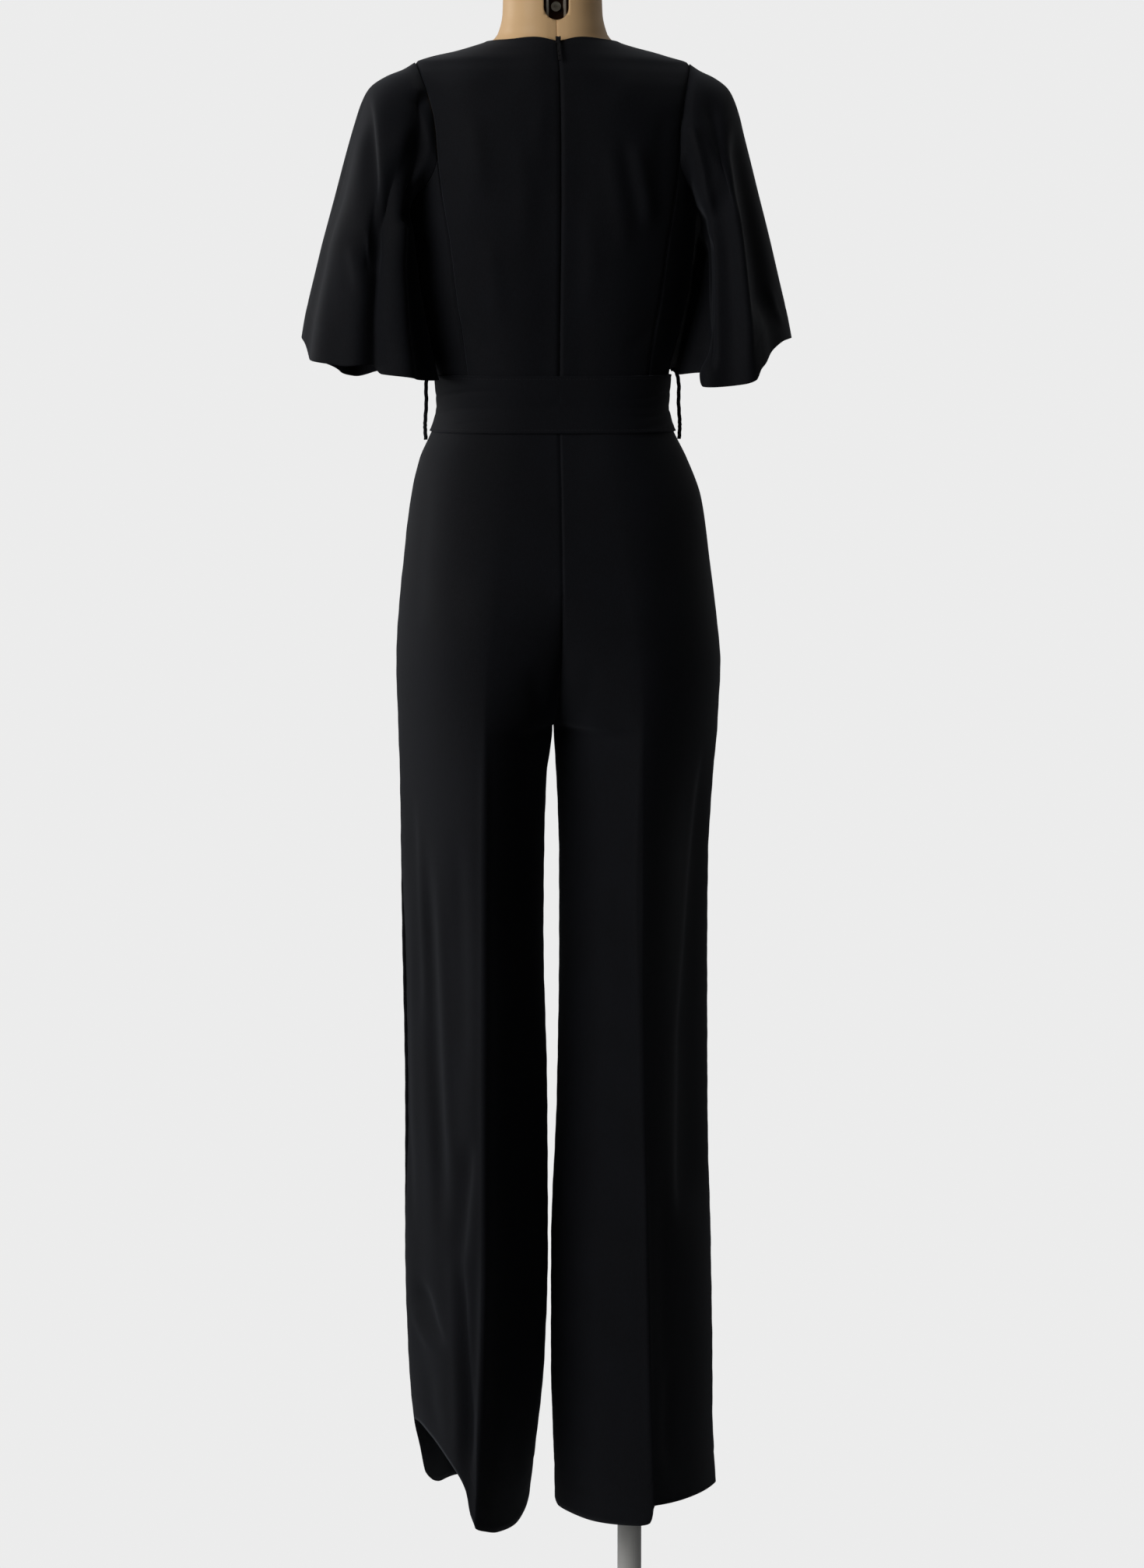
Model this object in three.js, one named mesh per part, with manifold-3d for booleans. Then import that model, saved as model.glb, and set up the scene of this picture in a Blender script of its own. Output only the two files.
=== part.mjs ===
import * as THREE from "three";
import { mergeVertices } from "three/addons/utils/BufferGeometryUtils.js";
import Module from "manifold-3d";

// A jumpsuit with flared sleeves, wide belt and creased trousers, worn by a limbless dress form on a stand.
// Millimetres, +Z up. The back of the garment faces +Y and its left side is +X.

const clothThick = 1.5;
const seamGap = 0.3;
const waistHeight = 1276;
const underWaist = 1262;
const crotchHeight = 954.6;
const seatCurve = { top: 1100, power: 1.3 };
const shoulderPoint = { x: 137, height: 1616 };
const necklineHalf = 66;
const necklineDepth = { back: 57.5, front: 86 };
const necklineHighest = 1645;
const armholeJunction = 1520;
const armholeBottom = 1478;
const armholeCurve = 1.1;
const chestHeight = 1540;
const shoulderRidge = { low: 1603, high: 1640 };
const sleeveGap = 0.42;
const foldEnds = { low: 90, high: 140 };
const foldReach = 40;
const legRound = { waist: 2.2, low: 1.5, fall: 420 };

const formGap = { side: 1.4, middle: 2.4, shoulder: 2 };
const formShoulder = { low: 1580, lowEase: 20, high: 1652, highEase: 12, across: 0.35 };
const formBottom = 1093;
const neckTop = 1700;
const pole = { x: -82, y: -26, radius: 12.5 };
const base = { radius: 172, thick: 12, edge: 4, chamfer: 1.2 };

const belt = { top: 1308, bottom: 1252, gap: 1.1, thick: 1.8, oval: 1.3 };
const lap = { gap: 0.5, share: 0.03, from: 0.9, ease: 0.05 };
const loopCord = { radius: 1.5, sides: 8, standOff: 9, top: 1313, bottom: 1243, sink: 0.4 };
const tape = { half: 5.5, thick: 0.8, slack: 0.5, top: 1627, bottom: 1170 };
const slider = { height: 1634.5, half: 2.4, thick: 1.4, halfLength: 4, pinY: 3.6, pinRadius: 0.55 };
const ear = { above: 1.3, length: 3.4, sunk: 0.1 };
const pull = { length: 28, half: 1.5, thick: 0.9, eyeRadius: 1.5, holeRadius: 0.85, eyeHalf: 0.95 };
const pullNeck = { low: 3, clear: 0.25, overlap: 0.3 };
const fitting = { well: 7.5, rim: 5, deep: 5, sunk: 1.2, screw: 4.8, socket: 2.4, head: 2.4 };
const screwHeight = 1669;
const slot = { half: 12.5, bottom: 1655.5, top: 1689, depth: 9, wall: 0.3 };

// The cloth's outer surface over the body, by height: half width, depths, the flat middle, and roundness.
const figure = [
  { height: 1276, half: 113.5, back: 80, front: 88, middle: 26, round: 2.2 },
  { height: 1308, half: 116.5, back: 81, front: 93, middle: 26, round: 2.2 },
  { height: 1350, half: 127, back: 85, front: 105, middle: 26, round: 2.25 },
  { height: 1400, half: 137, back: 92, front: 124, middle: 28, round: 2.3 },
  { height: 1430, half: 140.5, back: 96, front: 129, middle: 30, round: 2.3 },
  { height: 1478, half: 144, back: 100, front: 118, middle: 30, round: 2.3 },
  { height: 1510, half: 147, back: 100, front: 109, middle: 30, round: 2.25 },
  { height: 1545, half: 150, back: 97, front: 97, middle: 27, round: 2.15 },
  { height: 1570, half: 152, back: 93, front: 86, middle: 24, round: 2 },
  { height: 1590, half: 151.5, back: 87, front: 76, middle: 20, round: 1.8 },
  { height: 1603, half: 148, back: 82, front: 70, middle: 17, round: 1.6 },
  { height: 1616, half: 137, back: 74, front: 65, middle: 14, round: 1.45 },
  { height: 1625, half: 107, back: 68, front: 62, middle: 12, round: 1.45 },
  { height: 1632, half: 81, back: 63, front: 61, middle: 11, round: 1.55 },
  { height: 1637, half: 66, back: 59, front: 61, middle: 10, round: 1.75 },
  { height: 1646, half: 57, back: 54, front: 62, middle: 10, round: 1.95 },
  { height: 1665, half: 52.5, back: 48.5, front: 65, middle: 10, round: 2 },
  { height: 1700, half: 51.5, back: 43.5, front: 67, middle: 10, round: 2 },
];

// The seam from the waist up to the shoulder point, on the back: the shaping seam, then the armhole.
const backSeam = [
  { height: 1276, x: 86 },
  { height: 1330, x: 93 },
  { height: 1384, x: 101.5 },
  { height: 1436, x: 108 },
  { height: 1486, x: 116 },
  { height: 1520, x: 119.8 },
  { height: 1546, x: 121.5 },
  { height: 1565, x: 124 },
  { height: 1591, x: 130 },
  { height: 1616, x: 137 },
];
const frontSeam = [
  { height: 1276, x: 66 },
  { height: 1330, x: 72 },
  { height: 1384, x: 83 },
  { height: 1430, x: 90 },
  { height: 1486, x: 103 },
  { height: 1520, x: 112 },
  { height: 1546, x: 116 },
  { height: 1565, x: 120 },
  { height: 1591, x: 129 },
  { height: 1616, x: 137 },
];

// The trousers by height: outer and inner edge, depth of the back and front crease, and the crease's place.
const leftLeg = [
  { height: 160, outer: 136, inner: 24, back: 119, front: 118, crease: 90 },
  { height: 202, outer: 139, inner: 18.9, back: 119, front: 118, crease: 88 },
  { height: 235, outer: 144, inner: 14.9, back: 119, front: 117, crease: 87 },
  { height: 293, outer: 149, inner: 9.2, back: 118, front: 115, crease: 84 },
  { height: 416, outer: 152.5, inner: 5, back: 117, front: 112, crease: 81 },
  { height: 579, outer: 151.8, inner: 5.6, back: 116, front: 110, crease: 80 },
  { height: 740, outer: 154, inner: 9.4, back: 116, front: 108, crease: 80 },
  { height: 820, outer: 154.8, inner: 8.7, back: 116, front: 106, crease: 80 },
  { height: 900, outer: 155.6, inner: 6.4, back: 117, front: 105, crease: 79 },
  { height: 954.6, outer: 157, inner: 0.4, back: 118, front: 104, crease: 78 },
  { height: 1019, outer: 158.6, inner: 0, back: 120, front: 103, crease: 75 },
  { height: 1058, outer: 156.9, inner: 0, back: 120, front: 104, crease: 70 },
  { height: 1121, outer: 150.8, inner: 0, back: 113, front: 105, crease: 60 },
  { height: 1184, outer: 143, inner: 0, back: 102, front: 102, crease: 50 },
  { height: 1225, outer: 133.5, inner: 0, back: 92, front: 97, crease: 40 },
  { height: 1246, outer: 124, inner: 0, back: 86, front: 93, crease: 34 },
  { height: 1262, outer: 116.8, inner: 0, back: 82, front: 90, crease: 29 },
  { height: 1276, outer: 113.5, inner: 0, back: 80, front: 88, crease: 26 },
];
const rightLeg = [
  { height: 160, outer: 170, inner: 1.2, back: 120, front: 118, crease: 91 },
  { height: 202, outer: 167.5, inner: 0, back: 120, front: 118, crease: 90 },
  { height: 235, outer: 166, inner: -1.2, back: 119, front: 117, crease: 89 },
  { height: 293, outer: 165.7, inner: -2.8, back: 118, front: 115, crease: 87 },
  { height: 416, outer: 163.5, inner: -2.6, back: 117, front: 112, crease: 84 },
  { height: 579, outer: 160.4, inner: 3.6, back: 116, front: 110, crease: 81 },
  { height: 740, outer: 159.7, inner: 6, back: 116, front: 108, crease: 79 },
  { height: 820, outer: 160.2, inner: 5.9, back: 116, front: 106, crease: 79 },
  { height: 900, outer: 164.6, inner: 3.4, back: 117, front: 105, crease: 79 },
  { height: 954.6, outer: 168, inner: 0.4, back: 118, front: 104, crease: 79 },
  { height: 1019, outer: 170.5, inner: 0, back: 120, front: 103, crease: 76 },
  { height: 1058, outer: 166.8, inner: 0, back: 120, front: 104, crease: 71 },
  { height: 1121, outer: 158.4, inner: 0, back: 113, front: 105, crease: 61 },
  { height: 1184, outer: 149.5, inner: 0, back: 102, front: 102, crease: 51 },
  { height: 1225, outer: 134.5, inner: 0, back: 92, front: 97, crease: 40 },
  { height: 1246, outer: 124, inner: 0, back: 86, front: 93, crease: 34 },
  { height: 1262, outer: 116.8, inner: 0, back: 82, front: 90, crease: 29 },
  { height: 1276, outer: 113.5, inner: 0, back: 80, front: 88, crease: 26 },
];

// The hem's height round a leg: across 0 is the side seam, 1 the crease and 2 the inseam.
const leftHem = {
  back: [
    { across: 0, height: 238 },
    { across: 0.2, height: 240 },
    { across: 0.38, height: 233 },
    { across: 0.6, height: 214 },
    { across: 0.79, height: 190 },
    { across: 0.87, height: 168 },
    { across: 1.02, height: 156 },
    { across: 1.2, height: 149 },
    { across: 1.35, height: 143 },
    { across: 1.56, height: 140 },
    { across: 1.76, height: 147 },
    { across: 2, height: 165 },
  ],
  front: [
    { across: 0, height: 238 },
    { across: 0.12, height: 202 },
    { across: 0.25, height: 172 },
    { across: 0.6, height: 147 },
    { across: 1.1, height: 143 },
    { across: 2, height: 165 },
  ],
};
const rightHem = {
  back: [
    { across: 0, height: 163 },
    { across: 0.6, height: 170 },
    { across: 0.95, height: 174 },
    { across: 1.08, height: 155 },
    { across: 1.3, height: 149 },
    { across: 1.6, height: 144 },
    { across: 1.85, height: 145 },
    { across: 2, height: 153 },
  ],
  front: [
    { across: 0, height: 163 },
    { across: 1, height: 156 },
    { across: 2, height: 153 },
  ],
};

// The largest folds of the trousers: place across the panel, half width, depth, and the stretch they run.
const legFolds = [
  { leg: "left", face: "back", across: 0.62, half: 0.2, depth: 5, low: 330, high: 860 },
  { leg: "left", face: "back", across: 0.3, half: 0.15, depth: 4, low: 260, high: 800 },
  { leg: "left", face: "back", across: 0.86, half: 0.12, depth: 6, low: 120, high: 480 },
  { leg: "left", face: "back", across: 1.5, half: 0.25, depth: 4, low: 120, high: 700 },
  { leg: "left", face: "front", across: 0.55, half: 0.24, depth: 6, low: 120, high: 760 },
  { leg: "left", face: "front", across: 1.4, half: 0.24, depth: 4, low: 300, high: 900 },
  { leg: "right", face: "back", across: 0.42, half: 0.26, depth: 7, low: 430, high: 960 },
  { leg: "right", face: "back", across: 0.66, half: 0.2, depth: 4, low: 120, high: 520 },
  { leg: "right", face: "back", across: 1.45, half: 0.22, depth: 3, low: 380, high: 900 },
  { leg: "right", face: "front", across: 0.5, half: 0.24, depth: 6, low: 200, high: 880 },
  { leg: "right", face: "front", across: 1.45, half: 0.25, depth: 4, low: 120, high: 640 },
];

// Each sleeve from the armhole down: its outer and its inner line, and its depth to the back and the front.
const leftSleeve = [
  { outX: 149, outZ: 1609, inX: 146.5, inZ: 1466, back: 74, front: 84, pinch: 18 },
  { outX: 166, outZ: 1602, inX: 146.5, inZ: 1457, back: 80, front: 87, pinch: 14 },
  { outX: 181, outZ: 1592, inX: 146, inZ: 1448, back: 84, front: 89, pinch: 10 },
  { outX: 190, outZ: 1577, inX: 145, inZ: 1438, back: 87, front: 91, pinch: 7 },
  { outX: 198, outZ: 1553, inX: 144, inZ: 1426, back: 89, front: 93, pinch: 4 },
  { outX: 206, outZ: 1524, inX: 142, inZ: 1412, back: 90, front: 94, pinch: 2 },
  { outX: 215, outZ: 1488, inX: 140, inZ: 1395, back: 91, front: 95, pinch: 0 },
  { outX: 225, outZ: 1448, inX: 136, inZ: 1374, back: 93, front: 96, pinch: 0 },
  { outX: 236, outZ: 1400, inX: 131, inZ: 1351, back: 95, front: 97, pinch: 0 },
  { outX: 243, outZ: 1368, inX: 125, inZ: 1328, back: 97, front: 100, pinch: 0 },
  { outX: 247, outZ: 1344, inX: 122, inZ: 1322, back: 98, front: 102, pinch: 0 },
];
// The right sleeve stands out less, most of all near the shoulder.
const rightSleeve = leftSleeve.map((row, i) => {
  const share = 0.83 + (0.1 * i) / (leftSleeve.length - 1);
  return { ...row, outX: shoulderPoint.x + (row.outX - shoulderPoint.x) * share };
});

// Waves of the flared sleeves: place round the sleeve in degrees from its outer line over the back, half
// width, how far they stand out and how far down the sleeve they start.
const leftWaves = [
  { at: 6, half: 12, out: 5, start: 0.4 },
  { at: 38, half: 15, out: 8, start: 0.1 },
  { at: 92, half: 12, out: -15, start: -0.1 },
  { at: 117, half: 12, out: 13, start: -0.3 },
  { at: 153, half: 13, out: 11, start: -0.2 },
  { at: 210, half: 20, out: 7, start: 0.1 },
  { at: 246, half: 18, out: -11, start: 0.4 },
  { at: 276, half: 20, out: 12, start: 0.25 },
  { at: 306, half: 18, out: -11, start: 0.4 },
  { at: 328, half: 12, out: 4, start: 0.4 },
  { at: 346, half: 12, out: -3, start: 0.4 },
];
const rightWaves = [
  { at: 4, half: 10, out: 2, start: 0.4 },
  { at: 42, half: 24, out: -12, start: -0.1 },
  { at: 84, half: 10, out: 7, start: -0.1 },
  { at: 121, half: 11, out: 12, start: -0.2 },
  { at: 148, half: 11, out: -14, start: -0.1 },
  { at: 204, half: 18, out: 7, start: 0 },
  { at: 242, half: 18, out: -10, start: 0.4 },
  { at: 270, half: 20, out: 12, start: 0.25 },
  { at: 300, half: 18, out: -10, start: 0.4 },
  { at: 330, half: 16, out: 7, start: 0.4 },
];
// How much lower the hem hangs than its tilted ring, at places round the sleeve.
const leftHemDrops = [
  { at: 0, drop: -4 },
  { at: 12, drop: 2 },
  { at: 27, drop: 19 },
  { at: 60, drop: 20 },
  { at: 90, drop: 14 },
  { at: 100, drop: 21 },
  { at: 135, drop: 21 },
  { at: 152, drop: 20 },
  { at: 168, drop: 15 },
  { at: 180, drop: 3 },
  { at: 200, drop: 2 },
  { at: 230, drop: 10 },
  { at: 260, drop: 22 },
  { at: 278, drop: 30 },
  { at: 300, drop: 28 },
  { at: 320, drop: 22 },
  { at: 333, drop: 16 },
  { at: 346, drop: -2 },
  { at: 360, drop: -4 },
];
const rightHemDrops = [
  { at: 0, drop: -1 },
  { at: 22, drop: 1 },
  { at: 38, drop: 7 },
  { at: 52, drop: 13 },
  { at: 62, drop: 18 },
  { at: 72, drop: 22 },
  { at: 80, drop: 31 },
  { at: 90, drop: 33 },
  { at: 110, drop: 32 },
  { at: 122, drop: 30 },
  { at: 135, drop: 14 },
  { at: 152, drop: 13 },
  { at: 166, drop: 11 },
  { at: 180, drop: 3 },
  { at: 200, drop: 2 },
  { at: 230, drop: 9 },
  { at: 258, drop: 16 },
  { at: 285, drop: 15 },
  { at: 310, drop: 8 },
  { at: 335, drop: 2 },
  { at: 360, drop: -1 },
];

// The belt loop's way down over the belt: share of its stand-off, and height.
const loopRoute = [
  { out: 0.55, height: 1311 },
  { out: 1, height: 1298 },
  { out: 1.15, height: 1280 },
  { out: 0.95, height: 1262 },
  { out: 0.6, height: 1254 },
];

// Heights of the trousers' rows from the waist down to the crotch.
const hipHeights = [
  ...[waistHeight, underWaist, belt.bottom, 1225, 1190, 1150, seatCurve.top, 1062],
  ...[1030, 1005, 980, crotchHeight],
];

// Heights of the form's rows from the waist up to the top of the neck.
const formHeights = [
  ...[underWaist, 1276.5, 1292, 1310, 1335, 1365, 1400, 1430, 1460, 1490, 1520, 1545, 1565, 1580],
  ...[1591, 1599, 1606, 1611.5, 1616, 1620, 1624, 1628, 1632, 1637, 1646, 1660, 1680, neckTop],
];

// Grid steps.
const seamRows = 8;
const armholeRows = 9;
const armholeColumns = 8;
const necklineColumns = 5;
const shoulderColumns = 3;
const legColumns = 12;
const legRows = 9;
const formColumns = 36;
const beltColumns = 48;
const tapeRows = 18;
const loopSteps = 14;
const halvings = 40;

const clamp01 = (x) => Math.min(1, Math.max(0, x));
const smooth = (x) => clamp01(x) ** 2 * (3 - 2 * clamp01(x));
const mix = (a, b, t) => a + (b - a) * t;
const steps = (count) => Array.from({ length: count + 1 }, (_, i) => i / count);

// Reads one column of a table at a place between its rows, on a smooth line that never overshoots them.
function follow(table, name, at, key = "height") {
  const place = Math.min(table.at(-1)[key], Math.max(table[0][key], at));
  let i = 0;
  while (i < table.length - 2 && place > table[i + 1][key]) i++;
  const slope = (j) => (table[j + 1][name] - table[j][name]) / (table[j + 1][key] - table[j][key]);
  const tangent = (j) => {
    if (j === 0) return slope(0);
    if (j === table.length - 1) return slope(j - 1);
    const before = slope(j - 1);
    const after = slope(j);
    return before * after <= 0 ? 0 : (2 * before * after) / (before + after);
  };
  const span = table[i + 1][key] - table[i][key];
  const t = (place - table[i][key]) / span;
  const rise = 3 * t * t - 2 * t * t * t;
  return (
    mix(table[i][name], table[i + 1][name], rise) +
    span * (t * (1 - t) * (1 - t) * tangent(i) - t * t * (1 - t) * tangent(i + 1))
  );
}

// A point of a section whose quarters are superellipses: across 0 is the side, 1 the crease, 2 the middle.
function sectionPoint(across, face, section) {
  const { outer, crease, inner, creaseY, innerY } = section;
  const power = 2 / section.round;
  const sign = face === "back" ? 1 : -1;
  if (across <= 1) {
    const angle = (across * Math.PI) / 2;
    const x = crease + (outer - crease) * Math.max(0, Math.cos(angle)) ** power;
    return [x, sign * creaseY * Math.sin(angle) ** power];
  }
  const angle = ((across - 1) * Math.PI) / 2;
  const x = crease - (crease - inner) * Math.sin(angle) ** power;
  return [x, sign * (innerY + (creaseY - innerY) * Math.max(0, Math.cos(angle)) ** power)];
}

// The body's outer surface on the left half, for the bodice.
function bodyPoint(across, height, face) {
  const at = (name) => follow(figure, name, height);
  const depth = at(face);
  const [x, y] = sectionPoint(across, face, {
    outer: at("half"),
    crease: at("middle"),
    inner: 0,
    creaseY: depth,
    innerY: depth,
    round: at("round"),
  });
  return new THREE.Vector3(x, y, height);
}

// Where across a section the surface has a given distance from the middle.
function acrossAt(x, height) {
  const half = follow(figure, "half", height);
  const middle = follow(figure, "middle", height);
  const power = 2 / follow(figure, "round", height);
  if (x >= middle) {
    const share = clamp01((x - middle) / (half - middle)) ** (1 / power);
    return (Math.acos(share) * 2) / Math.PI;
  }
  return 1 + (Math.asin(clamp01((middle - x) / middle) ** (1 / power)) * 2) / Math.PI;
}

// The height at which the shoulder's ridge is as wide as a given distance.
function ridgeHeight(x) {
  let { low, high } = shoulderRidge;
  for (let i = 0; i < halvings; i++) {
    const middle = (low + high) / 2;
    if (follow(figure, "half", middle) > x) low = middle;
    else high = middle;
  }
  return (low + high) / 2;
}

// The outward direction of a surface of across and height, by small steps; turn flips it.
function normalOf(surface, across, height, turn) {
  const [step, rise] = [0.004, 0.5];
  const spot = Math.min(2 - step, Math.max(step, across));
  const around = surface(spot + step, height).sub(surface(spot - step, height));
  const upward = surface(spot, height + rise).sub(surface(spot, height - rise));
  return around.cross(upward).normalize().multiplyScalar(turn);
}

// Draws the four edges of an open grid back by half a seam, so that neighbours stay apart.
function drawBack(grid, edges) {
  const half = seamGap / 2;
  const move = (point, towards) => {
    const way = towards.outer.clone().sub(point.outer).normalize().multiplyScalar(half);
    return { outer: point.outer.clone().add(way), inner: point.inner.clone().add(way) };
  };
  const last = grid.length - 1;
  const end = grid[0].length - 1;
  const drawn = grid.map((row) => row.slice());
  if (edges.includes("first")) drawn[0] = drawn[0].map((p, j) => move(p, grid[1][j]));
  if (edges.includes("last")) drawn[last] = drawn[last].map((p, j) => move(p, grid[last - 1][j]));
  drawn.forEach((row, i) => {
    if (edges.includes("low")) row[0] = move(row[0], drawn[i][1]);
    if (edges.includes("high")) row[end] = move(row[end], drawn[i][end - 1]);
  });
  return drawn;
}

// A closed wall between the outer and the inner points of a grid; round joins its last column to the first.
function wallOf(grid, round = false) {
  const rows = grid.length;
  const columns = grid[0].length;
  const position = [];
  const index = [];
  for (const side of ["outer", "inner"]) {
    for (const row of grid) for (const point of row) position.push(...point[side].toArray());
  }
  const at = (i, j, side) => side * rows * columns + (i % rows) * columns + (j % columns);
  const face = (a, b, c, d) => index.push(a, b, c, a, c, d);
  const lastJ = round ? columns : columns - 1;
  for (let i = 0; i < rows - 1; i++) {
    for (let j = 0; j < lastJ; j++) {
      face(at(i, j, 0), at(i + 1, j, 0), at(i + 1, j + 1, 0), at(i, j + 1, 0));
      face(at(i, j, 1), at(i, j + 1, 1), at(i + 1, j + 1, 1), at(i + 1, j, 1));
    }
  }
  for (let j = 0; j < lastJ; j++) {
    face(at(0, j, 0), at(0, j + 1, 0), at(0, j + 1, 1), at(0, j, 1));
    face(at(rows - 1, j + 1, 0), at(rows - 1, j, 0), at(rows - 1, j, 1), at(rows - 1, j + 1, 1));
  }
  if (!round) {
    for (let i = 0; i < rows - 1; i++) {
      face(at(i + 1, 0, 0), at(i, 0, 0), at(i, 0, 1), at(i + 1, 0, 1));
      face(at(i, lastJ, 0), at(i + 1, lastJ, 0), at(i + 1, lastJ, 1), at(i, lastJ, 1));
    }
  }
  return facingOut(meshGeometry(position, index));
}

function meshGeometry(position, index) {
  const geometry = new THREE.BufferGeometry();
  geometry.setAttribute("position", new THREE.Float32BufferAttribute(position, 3));
  geometry.setIndex(index);
  return geometry;
}

// Turns every face round if the closed surface encloses a negative volume.
function facingOut(geometry) {
  const place = geometry.getAttribute("position");
  const index = Array.from(geometry.index.array);
  const corner = [0, 1, 2].map(() => new THREE.Vector3());
  let volume = 0;
  for (let i = 0; i < index.length; i += 3) {
    corner.forEach((c, k) => c.fromBufferAttribute(place, index[i + k]));
    volume += corner[0].dot(corner[1].clone().cross(corner[2]));
  }
  if (volume < 0) {
    for (let i = 0; i < index.length; i += 3) [index[i + 1], index[i + 2]] = [index[i + 2], index[i + 1]];
    geometry.setIndex(index);
  }
  geometry.computeVertexNormals();
  return geometry;
}

const wasm = await Module();
wasm.setup();

function solidOf(geometry) {
  const bare = geometry.clone();
  bare.deleteAttribute("normal");
  bare.deleteAttribute("uv");
  const merged = mergeVertices(bare, 1e-4);
  return new wasm.Manifold(
    new wasm.Mesh({
      numProp: 3,
      vertProperties: merged.attributes.position.array,
      triVerts: new Uint32Array(merged.index.array),
    }),
  );
}

function geometryOf(solid) {
  const mesh = solid.getMesh();
  return facingOut(meshGeometry(Array.from(mesh.vertProperties), Array.from(mesh.triVerts)));
}

// One point of cloth on a surface: its outer point and the inner one below it.
function clothPoint(surface, across, height, turn) {
  const outer = surface(across, height);
  const inner = outer.clone().addScaledVector(normalOf(surface, across, height, turn), -clothThick);
  return { outer, inner };
}

// Points of the bodice on either half: side is 1 on the left and -1 on the right.
function bodiceSurface(face, side) {
  return (across, height) => {
    const point = bodyPoint(across, height, face);
    point.x *= side;
    return point;
  };
}

const outwardTurn = (face, side) => (face === "back" ? side : -side);

// The middle panel's grid on one half: from the middle line out to the shaping seam and the armhole.
function middlePanelGrid(face, side) {
  const seam = face === "back" ? backSeam : frontSeam;
  const surface = bodiceSurface(face, side);
  const turn = outwardTurn(face, side);
  const seamHeights = [
    ...bodiceHeights(armholeJunction),
    ...steps(armholeRows)
      .slice(1)
      .map((t) => mix(armholeJunction, shoulderPoint.height, Math.sin((t * Math.PI) / 2))),
  ];
  const tops = middlePanelTops(face);
  return tops.map((top, i) => {
    const even = i / (tops.length - 1);
    return seamHeights.map((seamHeight) => {
      const rise = clamp01((seamHeight - belt.top) / (shoulderPoint.height - belt.top));
      const height = rise === 0 ? seamHeight : mix(belt.top, top.height, rise);
      const share = mix(even, top.x / shoulderPoint.x, rise ** 3);
      return clothPoint(surface, acrossAt(share * follow(seam, "x", seamHeight), height), height, turn);
    });
  });
}

// The panel's top edge from the middle out: round the neck, then along the shoulder's ridge.
function middlePanelTops(face) {
  const around = steps(necklineColumns).map((share) => {
    const angle = (share * Math.PI) / 2;
    const x = necklineHalf * Math.sin(angle);
    return { x, height: heightOn(x, necklineDepth[face] * Math.cos(angle), face) };
  });
  const along = steps(shoulderColumns).slice(1).map((share) => mix(necklineHalf, shoulderPoint.x, share));
  return [...around, ...along.map((x) => ({ x, height: ridgeHeight(x) }))];
}

// The height at which the surface above the chest has a given depth at a given distance from the middle.
function heightOn(x, depth, face) {
  let low = chestHeight;
  let high = Math.max(ridgeHeight(x), necklineHighest);
  for (let i = 0; i < halvings; i++) {
    const middle = (low + high) / 2;
    const inside = follow(figure, "half", middle) > x;
    const point = bodyPoint(acrossAt(x, middle), middle, face);
    if (inside && Math.abs(point.y) > depth) low = middle;
    else high = middle;
  }
  return (low + high) / 2;
}

// Heights of a bodice panel's rows: the waist, the belt's top edge, and even steps from there to its top.
function bodiceHeights(top) {
  return [waistHeight, ...steps(seamRows - 1).map((t) => mix(belt.top, top, t))];
}

function backMiddlePanel(side) {
  return wallOf(drawBack(middlePanelGrid("back", side), ["first", "last", "low", "high"]));
}

// The front is one piece on the fold, from seam to seam.
function frontMiddlePanel() {
  const left = middlePanelGrid("front", 1);
  const right = middlePanelGrid("front", -1);
  return wallOf(drawBack([...right.reverse(), ...left.slice(1)], ["first", "last", "low", "high"]));
}

// The lower part of the armhole, from its meeting with the shaping seam down to the underarm.
function lowerArmhole(face, share) {
  const seam = face === "back" ? backSeam : frontSeam;
  const startX = follow(seam, "x", armholeJunction);
  const turnAngle = (share * Math.PI) / 2;
  const height = mix(armholeJunction, armholeBottom, Math.sin(turnAngle));
  const start = acrossAt(startX, height);
  return { height, across: start * Math.cos(turnAngle) ** armholeCurve };
}

function sidePanel(face, side) {
  const seam = face === "back" ? backSeam : frontSeam;
  const surface = bodiceSurface(face, side);
  const grid = steps(armholeColumns).map((share) => {
    const top = lowerArmhole(face, share);
    return bodiceHeights(top.height).map((height, i) => {
      const seamHeight = bodiceHeights(armholeJunction)[i];
      const rise = (seamHeight - waistHeight) / (armholeJunction - waistHeight);
      const seamAcross = (z) => acrossAt(follow(seam, "x", z), z);
      const level = mix((1 - share) * seamAcross(waistHeight), top.across, rise);
      const straight = mix(seamAcross(waistHeight), seamAcross(armholeJunction), rise);
      const across = level + (1 - share) * (seamAcross(seamHeight) - straight);
      return clothPoint(surface, Math.max(0, across), height, outwardTurn(face, side));
    });
  });
  return wallOf(drawBack(grid, ["first", "last", "low", "high"]));
}

// The armhole all round, in degrees from the shoulder point over the back: the bodice's own edge points.
function armholeRing(side) {
  const upper = (face) => middlePanelGrid(face, side).at(-1).slice(seamRows).reverse();
  const lower = (face) =>
    steps(armholeColumns).map((share) => {
      const { height, across } = lowerArmhole(face, share);
      return clothPoint(bodiceSurface(face, side), across, height, outwardTurn(face, side));
    });
  const back = [...upper("back"), ...lower("back").slice(1)];
  const front = [...upper("front"), ...lower("front").slice(1)];
  return [...back, ...front.slice(1, -1).reverse()].map((point) => point.outer);
}

// How far the waves stand out at a place round the sleeve.
function waveAt(waves, degrees, down) {
  let out = 0;
  for (const wave of waves) {
    const away = Math.abs(((degrees - wave.at + 540) % 360) - 180) / wave.half;
    out += wave.out * Math.exp(-away * away) * smooth((down - wave.start) / (1 - wave.start)) ** 0.9;
  }
  return out;
}

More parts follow.
